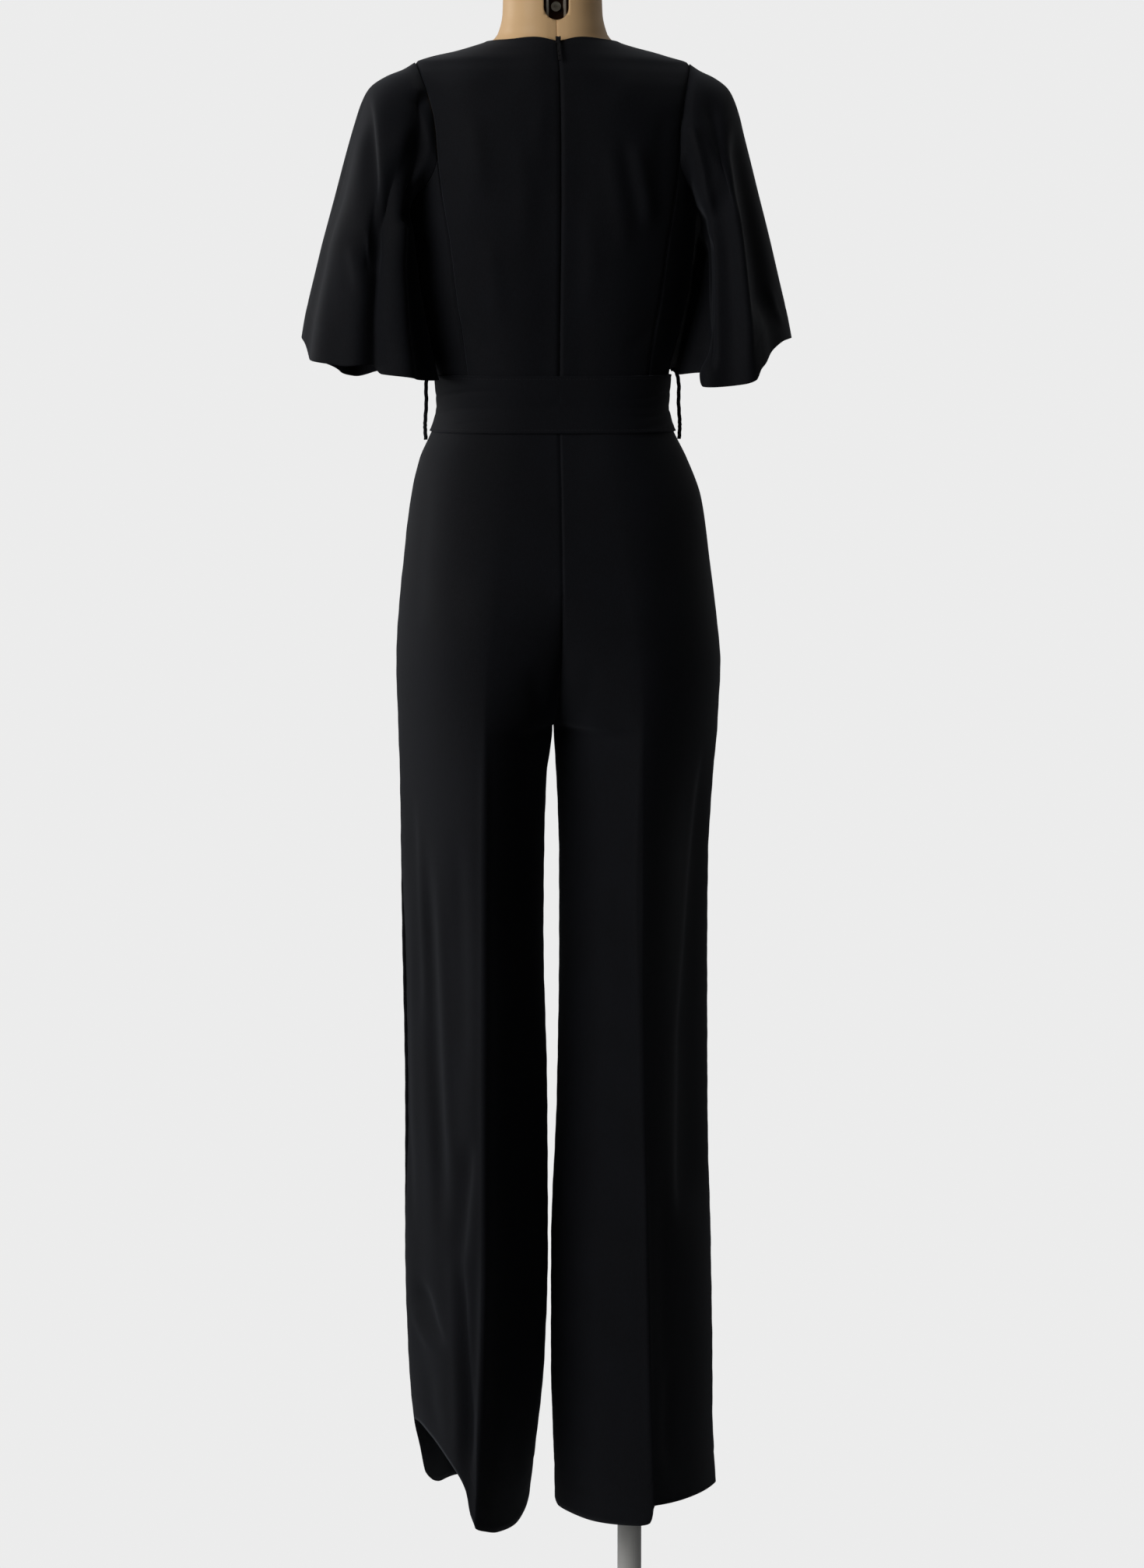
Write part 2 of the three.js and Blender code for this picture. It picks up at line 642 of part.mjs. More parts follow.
// A ring of the sleeve below the armhole: an oval that tilts from upright to level.
function sleeveRingPoint(row, degrees, side, down) {
  const angle = THREE.MathUtils.degToRad(degrees);
  const centre = new THREE.Vector3((row.outX + row.inX) / 2, 0, (row.outZ + row.inZ) / 2);
  const reach = new THREE.Vector3((row.outX - row.inX) / 2, 0, (row.outZ - row.inZ) / 2);
  const depth = degrees <= 180 ? row.back : row.front;
  const out = waveAt(side > 0 ? leftWaves : rightWaves, degrees, down);
  const drop = follow(side > 0 ? leftHemDrops : rightHemDrops, "drop", degrees, "at") * down ** 4;
  const across = Math.cos(angle);
  const deep = Math.sign(Math.sin(angle)) * Math.abs(Math.sin(angle)) ** 0.9 * depth;
  const point = centre.addScaledVector(reach, across);
  point.y += deep;
  point.x -= row.pinch * Math.sin(angle) ** 2;
  const outward = new THREE.Vector2(across * depth, Math.sin(angle) * reach.length()).normalize();
  point.x += outward.x * out;
  point.y += outward.y * out;
  point.z -= drop;
  point.x *= side;
  return point;
}

function sleeve(side) {
  const rows = side > 0 ? leftSleeve : rightSleeve;
  const ring = armholeRing(side);
  const rings = rows.map((row, i) =>
    ring.map((_, j) => sleeveRingPoint(row, (360 * j) / ring.length, side, (i + 1) / rows.length)),
  );
  const away = new THREE.Vector3(side * sleeveGap, 0, 0);
  const outer = [ring.map((point) => point.clone().add(away)), ...rings];
  const grid = outer.map((row, i) =>
    row.map((point, j) => {
      const next = row[(j + 1) % row.length];
      const before = row[(j + row.length - 1) % row.length];
      const below = outer[Math.min(i + 1, outer.length - 1)][j];
      const above = outer[Math.max(i - 1, 0)][j];
      const around = next.clone().sub(before);
      const along = below.clone().sub(above);
      const normal = around.cross(along).normalize().multiplyScalar(side);
      return { outer: point, inner: point.clone().addScaledVector(normal, clothThick) };
    }),
  );
  return wallOf(grid, true);
}

// The trousers' outer surface on one leg and face. Above the crotch its inner edge is the seat or front seam.
function legSurface(side, face) {
  const table = side > 0 ? leftLeg : rightLeg;
  const name = side > 0 ? "left" : "right";
  return (across, height) => {
    const at = (column) => follow(table, column, height);
    const depth = at(face);
    const curve = clamp01((seatCurve.top - height) / (seatCurve.top - crotchHeight));
    const innerY = height < crotchHeight ? 0 : depth * Math.sqrt(1 - curve ** seatCurve.power);
    const fall = smooth((waistHeight - height) / legRound.fall);
    const crease = at("crease");
    const [x, y] = sectionPoint(Math.min(2, Math.max(0, across)), face, {
      outer: at("outer"),
      crease,
      inner: at("inner"),
      creaseY: depth,
      innerY,
      round: mix(legRound.waist, legRound.low, fall),
    });
    const folds = legFolds.filter((fold) => fold.leg === name && fold.face === face);
    const sunk = folds.reduce((sum, fold) => sum + foldDepth(fold, across, height), 0);
    const shrink = 1 - sunk / Math.hypot(x - crease, y, foldReach);
    return new THREE.Vector3(side * mix(crease, x, shrink), y * shrink, height);
  };
}

function foldDepth(fold, across, height) {
  const near = Math.exp(-(((across - fold.across) / fold.half) ** 2));
  const fade = Math.min((height - fold.low) / foldEnds.low, (fold.high - height) / foldEnds.high);
  return fold.depth * near * smooth(fade);
}

function legPanel(side, face) {
  const surface = legSurface(side, face);
  const hem = (side > 0 ? leftHem : rightHem)[face];
  const turn = outwardTurn(face, side);
  const grid = steps(legColumns).map((share) => {
    const across = 2 * share;
    const low = follow(hem, "height", across, "across");
    const lower = steps(legRows).slice(1).map((fall) => mix(crotchHeight, low, fall));
    return [...hipHeights, ...lower].map((height) => clothPoint(surface, across, height, turn));
  });
  return wallOf(drawBack(grid, ["first", "last", "low"]));
}

// The cloth's outer surface all round at a height near the waist: turn 0 is the front middle, 0.5 the back.
function waistPoint(turn, height, out) {
  const { side, face, across } = placeRound(((turn % 1) + 1) % 1);
  const point = bodySurface(face, side, height)(across, height);
  const away = new THREE.Vector3(point.x / belt.oval, point.y * belt.oval, 0).normalize();
  return point.addScaledVector(away, out);
}

function bodySurface(face, side, height) {
  return height >= waistHeight ? bodiceSurface(face, side) : legSurface(side, face);
}

// Side, face and across of a place round the body, from the front middle over the left side.
function placeRound(turn) {
  const quarter = turn * 4;
  return {
    side: turn < 0.5 ? 1 : -1,
    face: quarter < 1 || quarter > 3 ? "front" : "back",
    across: 2 * [1 - quarter, quarter - 1, 3 - quarter, quarter - 3][Math.min(3, Math.floor(quarter))],
  };
}

// The belt goes once round and its outer end laps over the inner one at the front.
function beltBand() {
  const heights = [belt.bottom, underWaist, waistHeight, belt.top];
  const grid = heights.map((height) =>
    steps(beltColumns).map((share) => {
      const turn = mix(-lap.share, 1 + lap.share, share);
      const gap = belt.gap + smooth((turn - lap.from) / lap.ease) * (belt.thick + lap.gap);
      return { outer: waistPoint(turn, height, gap + belt.thick), inner: waistPoint(turn, height, gap) };
    }),
  );
  return wallOf(grid);
}

// A thin cord loop at the side seam that stands off the belt and carries it.
function beltLoop(side) {
  const sideOf = (height, out) => waistPoint(side > 0 ? 0.25 : 0.75, height, out).x;
  const onBelt = ({ out, height }) =>
    sideOf(Math.min(height, belt.top), belt.gap + belt.thick) + side * loopCord.standOff * out;
  const onCloth = (height) => sideOf(height, loopCord.sink) + side * loopCord.radius;
  const route = [
    new THREE.Vector3(onCloth(loopCord.top), 0, loopCord.top),
    ...loopRoute.map((place) => new THREE.Vector3(onBelt(place), 0, place.height)),
    new THREE.Vector3(onCloth(loopCord.bottom), 0, loopCord.bottom),
  ];
  const { radius, sides } = loopCord;
  const corners = steps(sides)
    .slice(1)
    .map((share) => new THREE.Vector2(radius, 0).rotateAround(new THREE.Vector2(), 2 * Math.PI * share));
  return new THREE.ExtrudeGeometry(new THREE.Shape(corners), {
    steps: loopSteps,
    extrudePath: new THREE.CatmullRomCurve3(route),
    bevelEnabled: false,
  });
}

// The zip's tape lies under the two back panels, along the middle line.
function zipTape() {
  const below = clothThick + seamGap + tape.slack;
  const grid = steps(tapeRows).map((rise) => {
    const height = mix(tape.bottom, tape.top, rise);
    const surface = bodySurface("back", 1, height);
    const middle = surface(2, height);
    const normal = normalOf(surface, 2, height, 1);
    return [-1, -0.5, 0, 0.5, 1].map((share) => {
      const place = new THREE.Vector3(share * tape.half, middle.y, middle.z);
      return {
        outer: place.clone().addScaledVector(normal, -below),
        inner: place.addScaledVector(normal, -below - tape.thick),
      };
    });
  });
  return wallOf(grid);
}

function boxSolid(x, y, z, centreX, centreY, centreZ) {
  return solidOf(new THREE.BoxGeometry(x, y, z).translate(centreX, centreY, centreZ));
}

function pinBar(radius, length, sides) {
  const bar = new THREE.CylinderGeometry(radius, radius, length, sides).rotateZ(Math.PI / 2);
  return solidOf(bar.translate(0, slider.pinY, 0));
}

// The slider's plate with two ears and the pin that carries the pull. Its own y points away from the cloth.
function zipSlider() {
  const { half, thick, halfLength, pinY, pinRadius } = slider;
  const plate = boxSolid(2 * half, thick, 2 * halfLength, 0, seamGap + thick / 2, 0);
  const earIn = pull.eyeHalf + seamGap;
  const earThick = half - earIn;
  const earTop = pinY + ear.above;
  const earLow = seamGap + thick - ear.sunk;
  const ears = [1, -1].map((side) =>
    boxSolid(earThick, earTop - earLow, ear.length, side * (earIn + earThick / 2), (earTop + earLow) / 2, 0),
  );
  const pin = pinBar(pinRadius, 2 * half - earThick / 3, 12);
  return geometryOf(plate.add(ears[0]).add(ears[1]).add(pin));
}

// The pull: an eye round the slider's pin and a slim bar that hangs from it.
function zipPull() {
  const { half, thick, eyeRadius, holeRadius, eyeHalf } = pull;
  const upright = (halfWidth, low, high) =>
    boxSolid(2 * halfWidth, thick, high - low, 0, slider.pinY, (high + low) / 2);
  const eye = pinBar(eyeRadius, 2 * eyeHalf, 20);
  const hole = pinBar(holeRadius, 4 * eyeHalf, 16);
  const neck = upright(eyeHalf, -pullNeck.low, -holeRadius - pullNeck.clear);
  const barLow = half - pull.length;
  const bar = upright(half, barLow, pullNeck.overlap - pullNeck.low);
  const tip = new THREE.CylinderGeometry(half, half, thick, 20).translate(0, slider.pinY, barLow);
  return geometryOf(eye.subtract(hole).add(neck).add(bar).add(solidOf(tip)));
}

// The dress form below the cloth: a smooth torso from the neck to the flat underside.
function formSurfacePoint(turn, height) {
  const { side, face, across } = placeRound(turn);
  const surface = bodySurface(face, side, height);
  const normal = normalOf(surface, across, height, outwardTurn(face, side));
  const nearShoulder =
    smooth((height - formShoulder.low) / formShoulder.lowEase) *
    smooth((formShoulder.high - height) / formShoulder.highEase) *
    smooth(across / formShoulder.across);
  const gap = formGap.side + formGap.middle * (across / 2) ** 2 + formGap.shoulder * nearShoulder;
  return surface(across, height).addScaledVector(normal, -clothThick - gap);
}

function formTorso() {
  const heights = [...steps(4).map((t) => mix(formBottom, belt.bottom, t)), ...formHeights];
  const position = [];
  const index = [];
  const count = formColumns;
  for (const height of heights) {
    for (let j = 0; j < count; j++) {
      const point = formSurfacePoint(j / count, height);
      position.push(point.x, point.y, height === neckTop ? neckTop : point.z);
    }
  }
  for (let i = 0; i < heights.length - 1; i++) {
    for (let j = 0; j < count; j++) {
      const next = (j + 1) % count;
      const [a, b] = [i * count + j, i * count + next];
      const [c, d] = [(i + 1) * count + next, (i + 1) * count + j];
      index.push(a, b, c, a, c, d);
    }
  }
  const ends = [
    { row: 0, height: position[2] },
    { row: heights.length - 1, height: neckTop },
  ];
  ends.forEach(({ row, height }, end) => {
    const centre = position.length / 3;
    position.push(0, 0, height);
    for (let j = 0; j < count; j++) {
      const pair = [row * count + j, row * count + ((j + 1) % count)];
      if (end === 0) pair.reverse();
      index.push(centre, ...pair);
    }
  });
  return meshGeometry(position, index);
}

// A stadium outline that stands upright, made deep along Y: its front face lies at the higher y.
function uprightSlot(half, bottom, top, lowY, highY) {
  const outline = new THREE.Shape();
  outline.moveTo(-half, bottom + half);
  outline.absarc(0, bottom + half, half, Math.PI, 2 * Math.PI, false);
  outline.lineTo(half, top - half);
  outline.absarc(0, top - half, half, 0, Math.PI, false);
  outline.closePath();
  const depth = highY - lowY;
  const body = new THREE.ExtrudeGeometry(outline, { depth, bevelEnabled: false, curveSegments: 10 });
  return solidOf(body.rotateX(Math.PI / 2).translate(0, highY, 0));
}

const neckInset = clothThick + formGap.side + formGap.middle;
const neckBack = follow(figure, "back", (slot.bottom + slot.top) / 2) - neckInset;
const slotFloor = neckBack - slot.depth;

function formWithSlot() {
  const cut = uprightSlot(slot.half, slot.bottom, slot.top, slotFloor, neckBack + slot.depth);
  return geometryOf(solidOf(facingOut(formTorso())).subtract(cut));
}

// The metal fitting in the slot: a plate with a raised rim on either side of the screw.
function neckFitting() {
  const { well, rim, deep, sunk } = fitting;
  const [low, high] = [slot.bottom + slot.wall, slot.top - slot.wall];
  const plate = uprightSlot(slot.half - slot.wall, low, high, slotFloor + slot.wall, neckBack - sunk);
  const hollow = uprightSlot(well, low + rim, high - rim, neckBack - deep, neckBack);
  return geometryOf(plate.subtract(hollow));
}

function neckScrew() {
  const low = neckBack - fitting.deep + slot.wall;
  const head = new THREE.CylinderGeometry(fitting.screw, fitting.screw, fitting.head, 28);
  const socket = new THREE.CylinderGeometry(fitting.socket, fitting.socket, fitting.head, 6);
  const solid = solidOf(head).subtract(solidOf(socket.translate(0, fitting.head * 0.4, 0)));
  return geometryOf(solid).translate(0, low + fitting.head / 2, screwHeight);
}

function standPole() {
  const length = formBottom - base.thick - 2 * seamGap;
  const tube = new THREE.CylinderGeometry(pole.radius, pole.radius, length, 32).rotateX(Math.PI / 2);
  return facingOut(tube.translate(pole.x, pole.y, base.thick + seamGap + length / 2));
}

function standBase() {
  const profile = [
    [0, 0],
    [base.radius, 0],
    [base.radius, base.thick - base.edge],
    [base.radius - base.chamfer, base.thick - base.chamfer],
    [base.radius - base.edge, base.thick],
    [0, base.thick],
  ].map(([radius, height]) => new THREE.Vector2(radius, height));
  return facingOut(new THREE.LatheGeometry(profile, 40).rotateX(Math.PI / 2));
}

const crepe = { color: 0x0b0b0d, roughness: 0.85, metalness: 0 };
const skinTone = { color: 0xd8b48a, roughness: 0.45, metalness: 0 };
const metal = { color: 0xc9c6c0, roughness: 0.3, metalness: 1 };
const paleMetal = { color: 0xd9d9d7, roughness: 0.4, metalness: 0.4 };

const jumpsuit = new THREE.Group();

function addPiece(name, geometry, look, parent = jumpsuit) {
  const mesh = new THREE.Mesh(geometry, new THREE.MeshStandardMaterial(look));
  mesh.name = name;
  parent.add(mesh);
}

for (const [word, side] of Object.entries({ left: 1, right: -1 })) {
  addPiece(`back_middle_${word}`, backMiddlePanel(side), crepe);
  addPiece(`back_side_${word}`, sidePanel("back", side), crepe);
  addPiece(`front_side_${word}`, sidePanel("front", side), crepe);
  addPiece(`sleeve_${word}`, sleeve(side), crepe);
  addPiece(`leg_back_${word}`, legPanel(side, "back"), crepe);
  addPiece(`leg_front_${word}`, legPanel(side, "front"), crepe);
  addPiece(`belt_loop_${word}`, beltLoop(side), crepe);
}
addPiece("front_middle", frontMiddlePanel(), crepe);
addPiece("belt", beltBand(), crepe);
addPiece("zip_tape", zipTape(), crepe);

// The zip's head lies on the cloth at the top of the middle seam, turned to the slope of the back there.
const zipHead = new THREE.Group();
const backAt = (height) => follow(figure, "back", height);
const { height: headHeight, halfLength: reach } = slider;
zipHead.position.set(0, backAt(headHeight), headHeight);
zipHead.rotation.x = Math.atan2(backAt(headHeight - reach) - backAt(headHeight + reach), 2 * reach);
addPiece("zip_slider", zipSlider(), metal, zipHead);
addPiece("zip_pull", zipPull(), metal, zipHead);
jumpsuit.add(zipHead);

addPiece("form_torso", formWithSlot(), skinTone);
addPiece("neck_fitting", neckFitting(), metal);
addPiece("neck_screw", neckScrew(), metal);
addPiece("stand_pole", standPole(), paleMetal);
addPiece("stand_base", standBase(), paleMetal);

export default jumpsuit;
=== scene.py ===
import math

import bmesh
import bpy
import numpy as np
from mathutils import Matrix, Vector


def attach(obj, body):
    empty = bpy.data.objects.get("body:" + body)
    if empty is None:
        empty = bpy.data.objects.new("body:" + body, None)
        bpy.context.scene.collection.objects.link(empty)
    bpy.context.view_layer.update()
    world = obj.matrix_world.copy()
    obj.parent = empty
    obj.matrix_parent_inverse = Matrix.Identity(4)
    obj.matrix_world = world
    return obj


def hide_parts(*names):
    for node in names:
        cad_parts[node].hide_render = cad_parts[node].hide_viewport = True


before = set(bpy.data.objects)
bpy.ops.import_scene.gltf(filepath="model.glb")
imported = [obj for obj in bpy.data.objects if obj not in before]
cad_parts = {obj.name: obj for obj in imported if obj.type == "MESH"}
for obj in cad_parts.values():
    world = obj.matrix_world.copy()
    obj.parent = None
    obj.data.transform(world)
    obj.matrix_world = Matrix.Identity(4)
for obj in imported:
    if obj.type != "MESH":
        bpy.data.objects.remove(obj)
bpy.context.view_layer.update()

# A black jumpsuit on a dress form. Tables are in millimetres and meshes in metres.
# The garment's back faces +Y, its left side is +X, and the light comes from its left.

body = "garment"


def addThing(name, data):
    thing = bpy.data.objects.new(name, data)
    bpy.context.scene.collection.objects.link(thing)
    return thing


# Sets a node's inputs by name or number, or joins them to another node's output.
def feed(tree, node, inputs):
    for key, value in inputs.items():
        if isinstance(value, bpy.types.NodeSocket):
            tree.links.new(value, node.inputs[key])
        else:
            node.inputs[key].default_value = value


def addNode(tree, kind, inputs=None, **settings):
    node = tree.nodes.new(kind)
    for name, value in settings.items():
        setattr(node, name, value)
    feed(tree, node, inputs or {})
    return node


# Named sockets of a node group, each with its kind and, for most inputs, a first value.
def addSockets(group, way, *rows):
    for name, kind, *value in rows:
        socket = group.interface.new_socket(name, in_out=way, socket_type="NodeSocket" + kind)
        if value:
            socket.default_value = value[0]


cameraPlace = {
    "lens": 95.7, "sensor": 36, "distance": 4.2, "height": 1.395, "pitch": 6.8, "azimuth": 5, "aside": 0.0193,
}


def makeCamera(v):
    turn = math.radians(v["azimuth"])
    outward = Vector((math.sin(turn), math.cos(turn), 0))
    toRight = Vector((-math.cos(turn), math.sin(turn), 0))
    camera = addThing("camera", bpy.data.cameras.new("camera"))
    camera.data.lens = v["lens"]
    camera.data.sensor_width = v["sensor"]
    camera.location = outward * v["distance"] + Vector((0, 0, v["height"]))
    aim = toRight * v["aside"]
    aim.z = v["height"] - v["distance"] * math.tan(math.radians(v["pitch"]))
    camera.rotation_euler = (aim - camera.location).to_track_quat("-Z", "Y").to_euler()
    bpy.context.scene.camera = camera


makeCamera(cameraPlace)
print("camera set")


def table(columns, *rows):
    return dict(zip(columns.split(), np.array(rows, float).T))


def clamp01(x):
    return np.clip(x, 0, 1)


def smooth(x):
    x = clamp01(x)
    return x * x * (3 - 2 * x)


def mix(a, b, t):
    return a + (b - a) * t


# Reads a column at places between its rows, on a smooth line that never overshoots them.
def follow(rows, column, at, key="height"):
    place, value = rows[key], rows[column]
    slope = np.diff(value) / np.diff(place)
    tangent = np.concatenate([slope[:1], np.zeros(len(slope) - 1), slope[-1:]])
    same = slope[:-1] * slope[1:] > 0
    total = np.where(same, slope[:-1] + slope[1:], 1)
    tangent[1:-1] = np.where(same, 2 * slope[:-1] * slope[1:] / total, 0)
    at = np.clip(at, place[0], place[-1])
    i = np.clip(np.searchsorted(place, at) - 1, 0, len(slope) - 1)
    span = place[i + 1] - place[i]
    t = (at - place[i]) / span
    bend = t * (1 - t) ** 2 * tangent[i] - t * t * (1 - t) * tangent[i + 1]
    return mix(value[i], value[i + 1], t * t * (3 - 2 * t)) + span * bend


figure = table(
    "height half back front middle round",
    (1276, 113.5, 80, 88, 26, 2.2),
    (1308, 116.5, 81, 93, 26, 2.2),
    (1350, 127, 85, 105, 26, 2.25),
    (1400, 137, 92, 124, 28, 2.3),
    (1430, 140.5, 96, 129, 30, 2.3),
    (1478, 144, 100, 118, 30, 2.3),
    (1510, 147, 100, 109, 30, 2.25),
    (1545, 150, 97, 97, 27, 2.15),
    (1570, 152, 93, 86, 24, 2),
    (1590, 151.5, 87, 76, 20, 1.8),
    (1603, 148, 82, 70, 17, 1.6),
    (1616, 137, 74, 65, 14, 1.45),
    (1625, 107, 68, 62, 12, 1.45),
    (1632, 81, 63, 61, 11, 1.55),
    (1637, 66, 59, 61, 10, 1.75),
    (1646, 57, 54, 62, 10, 1.95),
    (1665, 52.5, 48.5, 65, 10, 2),
    (1700, 51.5, 43.5, 67, 10, 2),
)

# The seam from the waist to the shoulder point, on either face.
seams = {
    "back": table(
        "height x",
        *[(1276, 86), (1330, 93), (1384, 101.5), (1436, 108), (1486, 116)],
        *[(1520, 119.8), (1546, 121.5), (1565, 124), (1591, 130), (1616, 137)],
    ),
    "front": table(
        "height x",
        *[(1276, 66), (1330, 72), (1384, 83), (1430, 90), (1486, 103)],
        *[(1520, 112), (1546, 116), (1565, 120), (1591, 129), (1616, 137)],
    ),
}

legs = {
    "left": table(
        "height outer inner back front crease",
        (160, 136, 24, 119, 118, 90),
        (202, 139, 18.9, 119, 118, 88),
        (235, 144, 14.9, 119, 117, 87),
        (293, 149, 9.2, 118, 115, 84),
        (416, 152.5, 5, 117, 112, 81),
        (579, 151.8, 5.6, 116, 110, 80),
        (740, 154, 9.4, 116, 108, 80),
        (820, 154.8, 8.7, 116, 106, 80),
        (900, 155.6, 6.4, 117, 105, 79),
        (954.6, 157, 0.4, 118, 104, 78),
        (1019, 158.6, 0, 120, 103, 75),
        (1058, 156.9, 0, 120, 104, 70),
        (1121, 150.8, 0, 113, 105, 60),
        (1184, 143, 0, 102, 102, 50),
        (1225, 133.5, 0, 92, 97, 40),
        (1246, 124, 0, 86, 93, 34),
        (1262, 116.8, 0, 82, 90, 29),
        (1276, 113.5, 0, 80, 88, 26),
    ),
    "right": table(
        "height outer inner back front crease",
        (160, 170, 1.2, 120, 118, 91),
        (202, 167.5, 0, 120, 118, 90),
        (235, 166, -1.2, 119, 117, 89),
        (293, 165.7, -2.8, 118, 115, 87),
        (416, 163.5, -2.6, 117, 112, 84),
        (579, 160.4, 3.6, 116, 110, 81),
        (740, 159.7, 6, 116, 108, 79),
        (820, 160.2, 5.9, 116, 106, 79),
        (900, 164.6, 3.4, 117, 105, 79),
        (954.6, 168, 0.4, 118, 104, 79),
        (1019, 170.5, 0, 120, 103, 76),
        (1058, 166.8, 0, 120, 104, 71),
        (1121, 158.4, 0, 113, 105, 61),
        (1184, 149.5, 0, 102, 102, 51),
        (1225, 134.5, 0, 92, 97, 40),
        (1246, 124, 0, 86, 93, 34),
        (1262, 116.8, 0, 82, 90, 29),
        (1276, 113.5, 0, 80, 88, 26),
    ),
}

# The hem round a leg: across 0 is the side seam, 1 the crease and 2 the inseam.
hems = {
    "left": {
        "back": table(
            "across height",
            *[(0, 238), (0.2, 240), (0.38, 233), (0.6, 214), (0.79, 190), (0.87, 168)],
            *[(1.02, 156), (1.2, 149), (1.35, 143), (1.56, 140), (1.76, 147), (2, 165)],
        ),
        "front": table("across height", (0, 238), (0.12, 202), (0.25, 172), (0.6, 147), (1.1, 143), (2, 165)),
    },
    "right": {
        "back": table(
            "across height",
            *[(0, 163), (0.6, 170), (0.95, 174), (1.08, 155), (1.3, 149), (1.6, 144), (1.85, 145), (2, 153)],
        ),
        "front": table("across height", (0, 163), (1, 156), (2, 153)),
    },
}

levels = {
    "waist": 1276, "crotch": 954.6, "seat": 1100, "seatPower": 1.3, "beltTop": 1308, "beltBottom": 1252,
    "junction": 1520, "armholeBottom": 1478, "shoulderX": 137, "shoulder": 1616,
    "necklineHalf": 66, "necklineTop": 1645, "neckline": {"back": 57.5, "front": 86},
    "legRound": (2.2, 1.35, 420), "ridge": (1603, 1640), "chest": 1540,
}


# A point of a section whose quarters are superellipses, on the left half.
def sectionPoint(across, face, outer, crease, inner, creaseY, innerY, round):
    power = 2 / round
    sign = 1 if face == "back" else -1
    side = np.clip(across, 0, 1) * math.pi / 2
    flat = np.clip(across - 1, 0, 1) * math.pi / 2
    xSide = crease + (outer - crease) * clamp01(np.cos(side)) ** power
    ySide = creaseY * clamp01(np.sin(side)) ** power
    xFlat = crease - (crease - inner) * clamp01(np.sin(flat)) ** power
    yFlat = innerY + (creaseY - innerY) * clamp01(np.cos(flat)) ** power
    onSide = across <= 1
    return np.where(onSide, xSide, xFlat), sign * np.where(onSide, ySide, yFlat)


def bodyPoint(across, height, face, side):
    at = lambda column: follow(figure, column, height)
    depth = at(face)
    x, y = sectionPoint(across, face, at("half"), at("middle"), 0, depth, depth, at("round"))
    return np.stack([side * x, y, height + 0 * x], -1)


def acrossAt(x, height):
    half, middle = follow(figure, "half", height), follow(figure, "middle", height)
    power = 2 / follow(figure, "round", height)
    onSide = np.arccos(clamp01((x - middle) / (half - middle)) ** (1 / power))
    onFlat = math.pi / 2 + np.arcsin(clamp01((middle - x) / middle) ** (1 / power))
    return np.where(x >= middle, onSide, onFlat) * 2 / math.pi


def ridgeHeight(x):
    heights = np.linspace(*levels["ridge"], 400)
    halves = follow(figure, "half", heights)
    return np.interp(-np.asarray(x, float), -halves, heights)


# The height at which the surface has a given depth at a given distance from the middle.
def heightOn(x, depth, face):
    low = np.full_like(x, float(levels["chest"]))
    high = np.maximum(ridgeHeight(x), levels["necklineTop"])
    for _ in range(30):
        middle = (low + high) / 2
        point = bodyPoint(acrossAt(x, middle), middle, face, 1)
        inside = (follow(figure, "half", middle) > x) & (np.abs(point[..., 1]) > depth)
        low, high = np.where(inside, middle, low), np.where(inside, high, middle)
    return (low + high) / 2


# The largest folds of the trousers: across, half width, depth, lowest and highest point.
legFolds = {
    "left": {
        "back": [
            *[(0.62, 0.2, 5, 330, 860), (0.3, 0.15, 4, 260, 800)],
            *[(0.86, 0.12, 6, 120, 480), (1.5, 0.25, 4, 120, 700)],
        ],
        "front": [(0.55, 0.24, 6, 120, 760), (1.4, 0.24, 4, 300, 900)],
    },
    "right": {
        "back": [(0.42, 0.26, 7, 430, 960), (0.66, 0.2, 4, 120, 520), (1.45, 0.22, 3, 380, 900)],
        "front": [(0.5, 0.24, 6, 200, 880), (1.45, 0.25, 4, 120, 640)],
    },
}
foldShape = {"lowEase": 90, "highEase": 140, "core": 40}


def legPoint(across, height, name, face):
    rows, side = legs[name], 1 if name == "left" else -1
    at = lambda column: follow(rows, column, height)
    depth = at(face)
    curve = clamp01((levels["seat"] - height) / (levels["seat"] - levels["crotch"]))
    innerY = np.where(height < levels["crotch"], 0, depth * np.sqrt(1 - curve ** levels["seatPower"]))
    waistRound, lowRound, fall = levels["legRound"]
    round = mix(waistRound, lowRound, smooth((levels["waist"] - height) / fall))
    crease = at("crease")
    x, y = sectionPoint(across, face, at("outer"), crease, at("inner"), depth, innerY, round)
    sunk = 0
    for place, half, deep, low, high in legFolds[name][face]:
        near = np.exp(-(((across - place) / half) ** 2))
        ends = np.minimum((height - low) / foldShape["lowEase"], (high - height) / foldShape["highEase"])
        sunk = sunk + deep * near * smooth(ends)
    shrink = 1 - sunk / np.sqrt((x - crease) ** 2 + y * y + foldShape["core"] ** 2)
    return np.stack([side * mix(crease, x, shrink), y * shrink, height + 0 * x], -1)


# How far round from the front's middle a place is, as across: 0 at the side and 2 in the middle.
def acrossOf(turn):
    quarter = turn * 4
    return 2 * np.select(
        [quarter < 1, quarter < 2, quarter < 3], [1 - quarter, quarter - 1, 3 - quarter], quarter - 3)


# A point of the whole figure: the bodice above the waist and the trousers below it.
def figurePoint(turn, across, height):
    onBack = (turn >= 0.25) & (turn <= 0.75)
    point = np.zeros(np.broadcast(across, height).shape + (3,))
    for face, onFace in (("front", ~onBack), ("back", onBack)):
        for name, side, onSide in (("left", 1, turn < 0.5), ("right", -1, turn >= 0.5)):
            upper, lower = bodyPoint(across, height, face, side), legPoint(across, height, name, face)
            part = np.where((height >= levels["waist"])[..., None], upper, lower)
            point = np.where((onFace & onSide)[..., None], part, point)
    return point


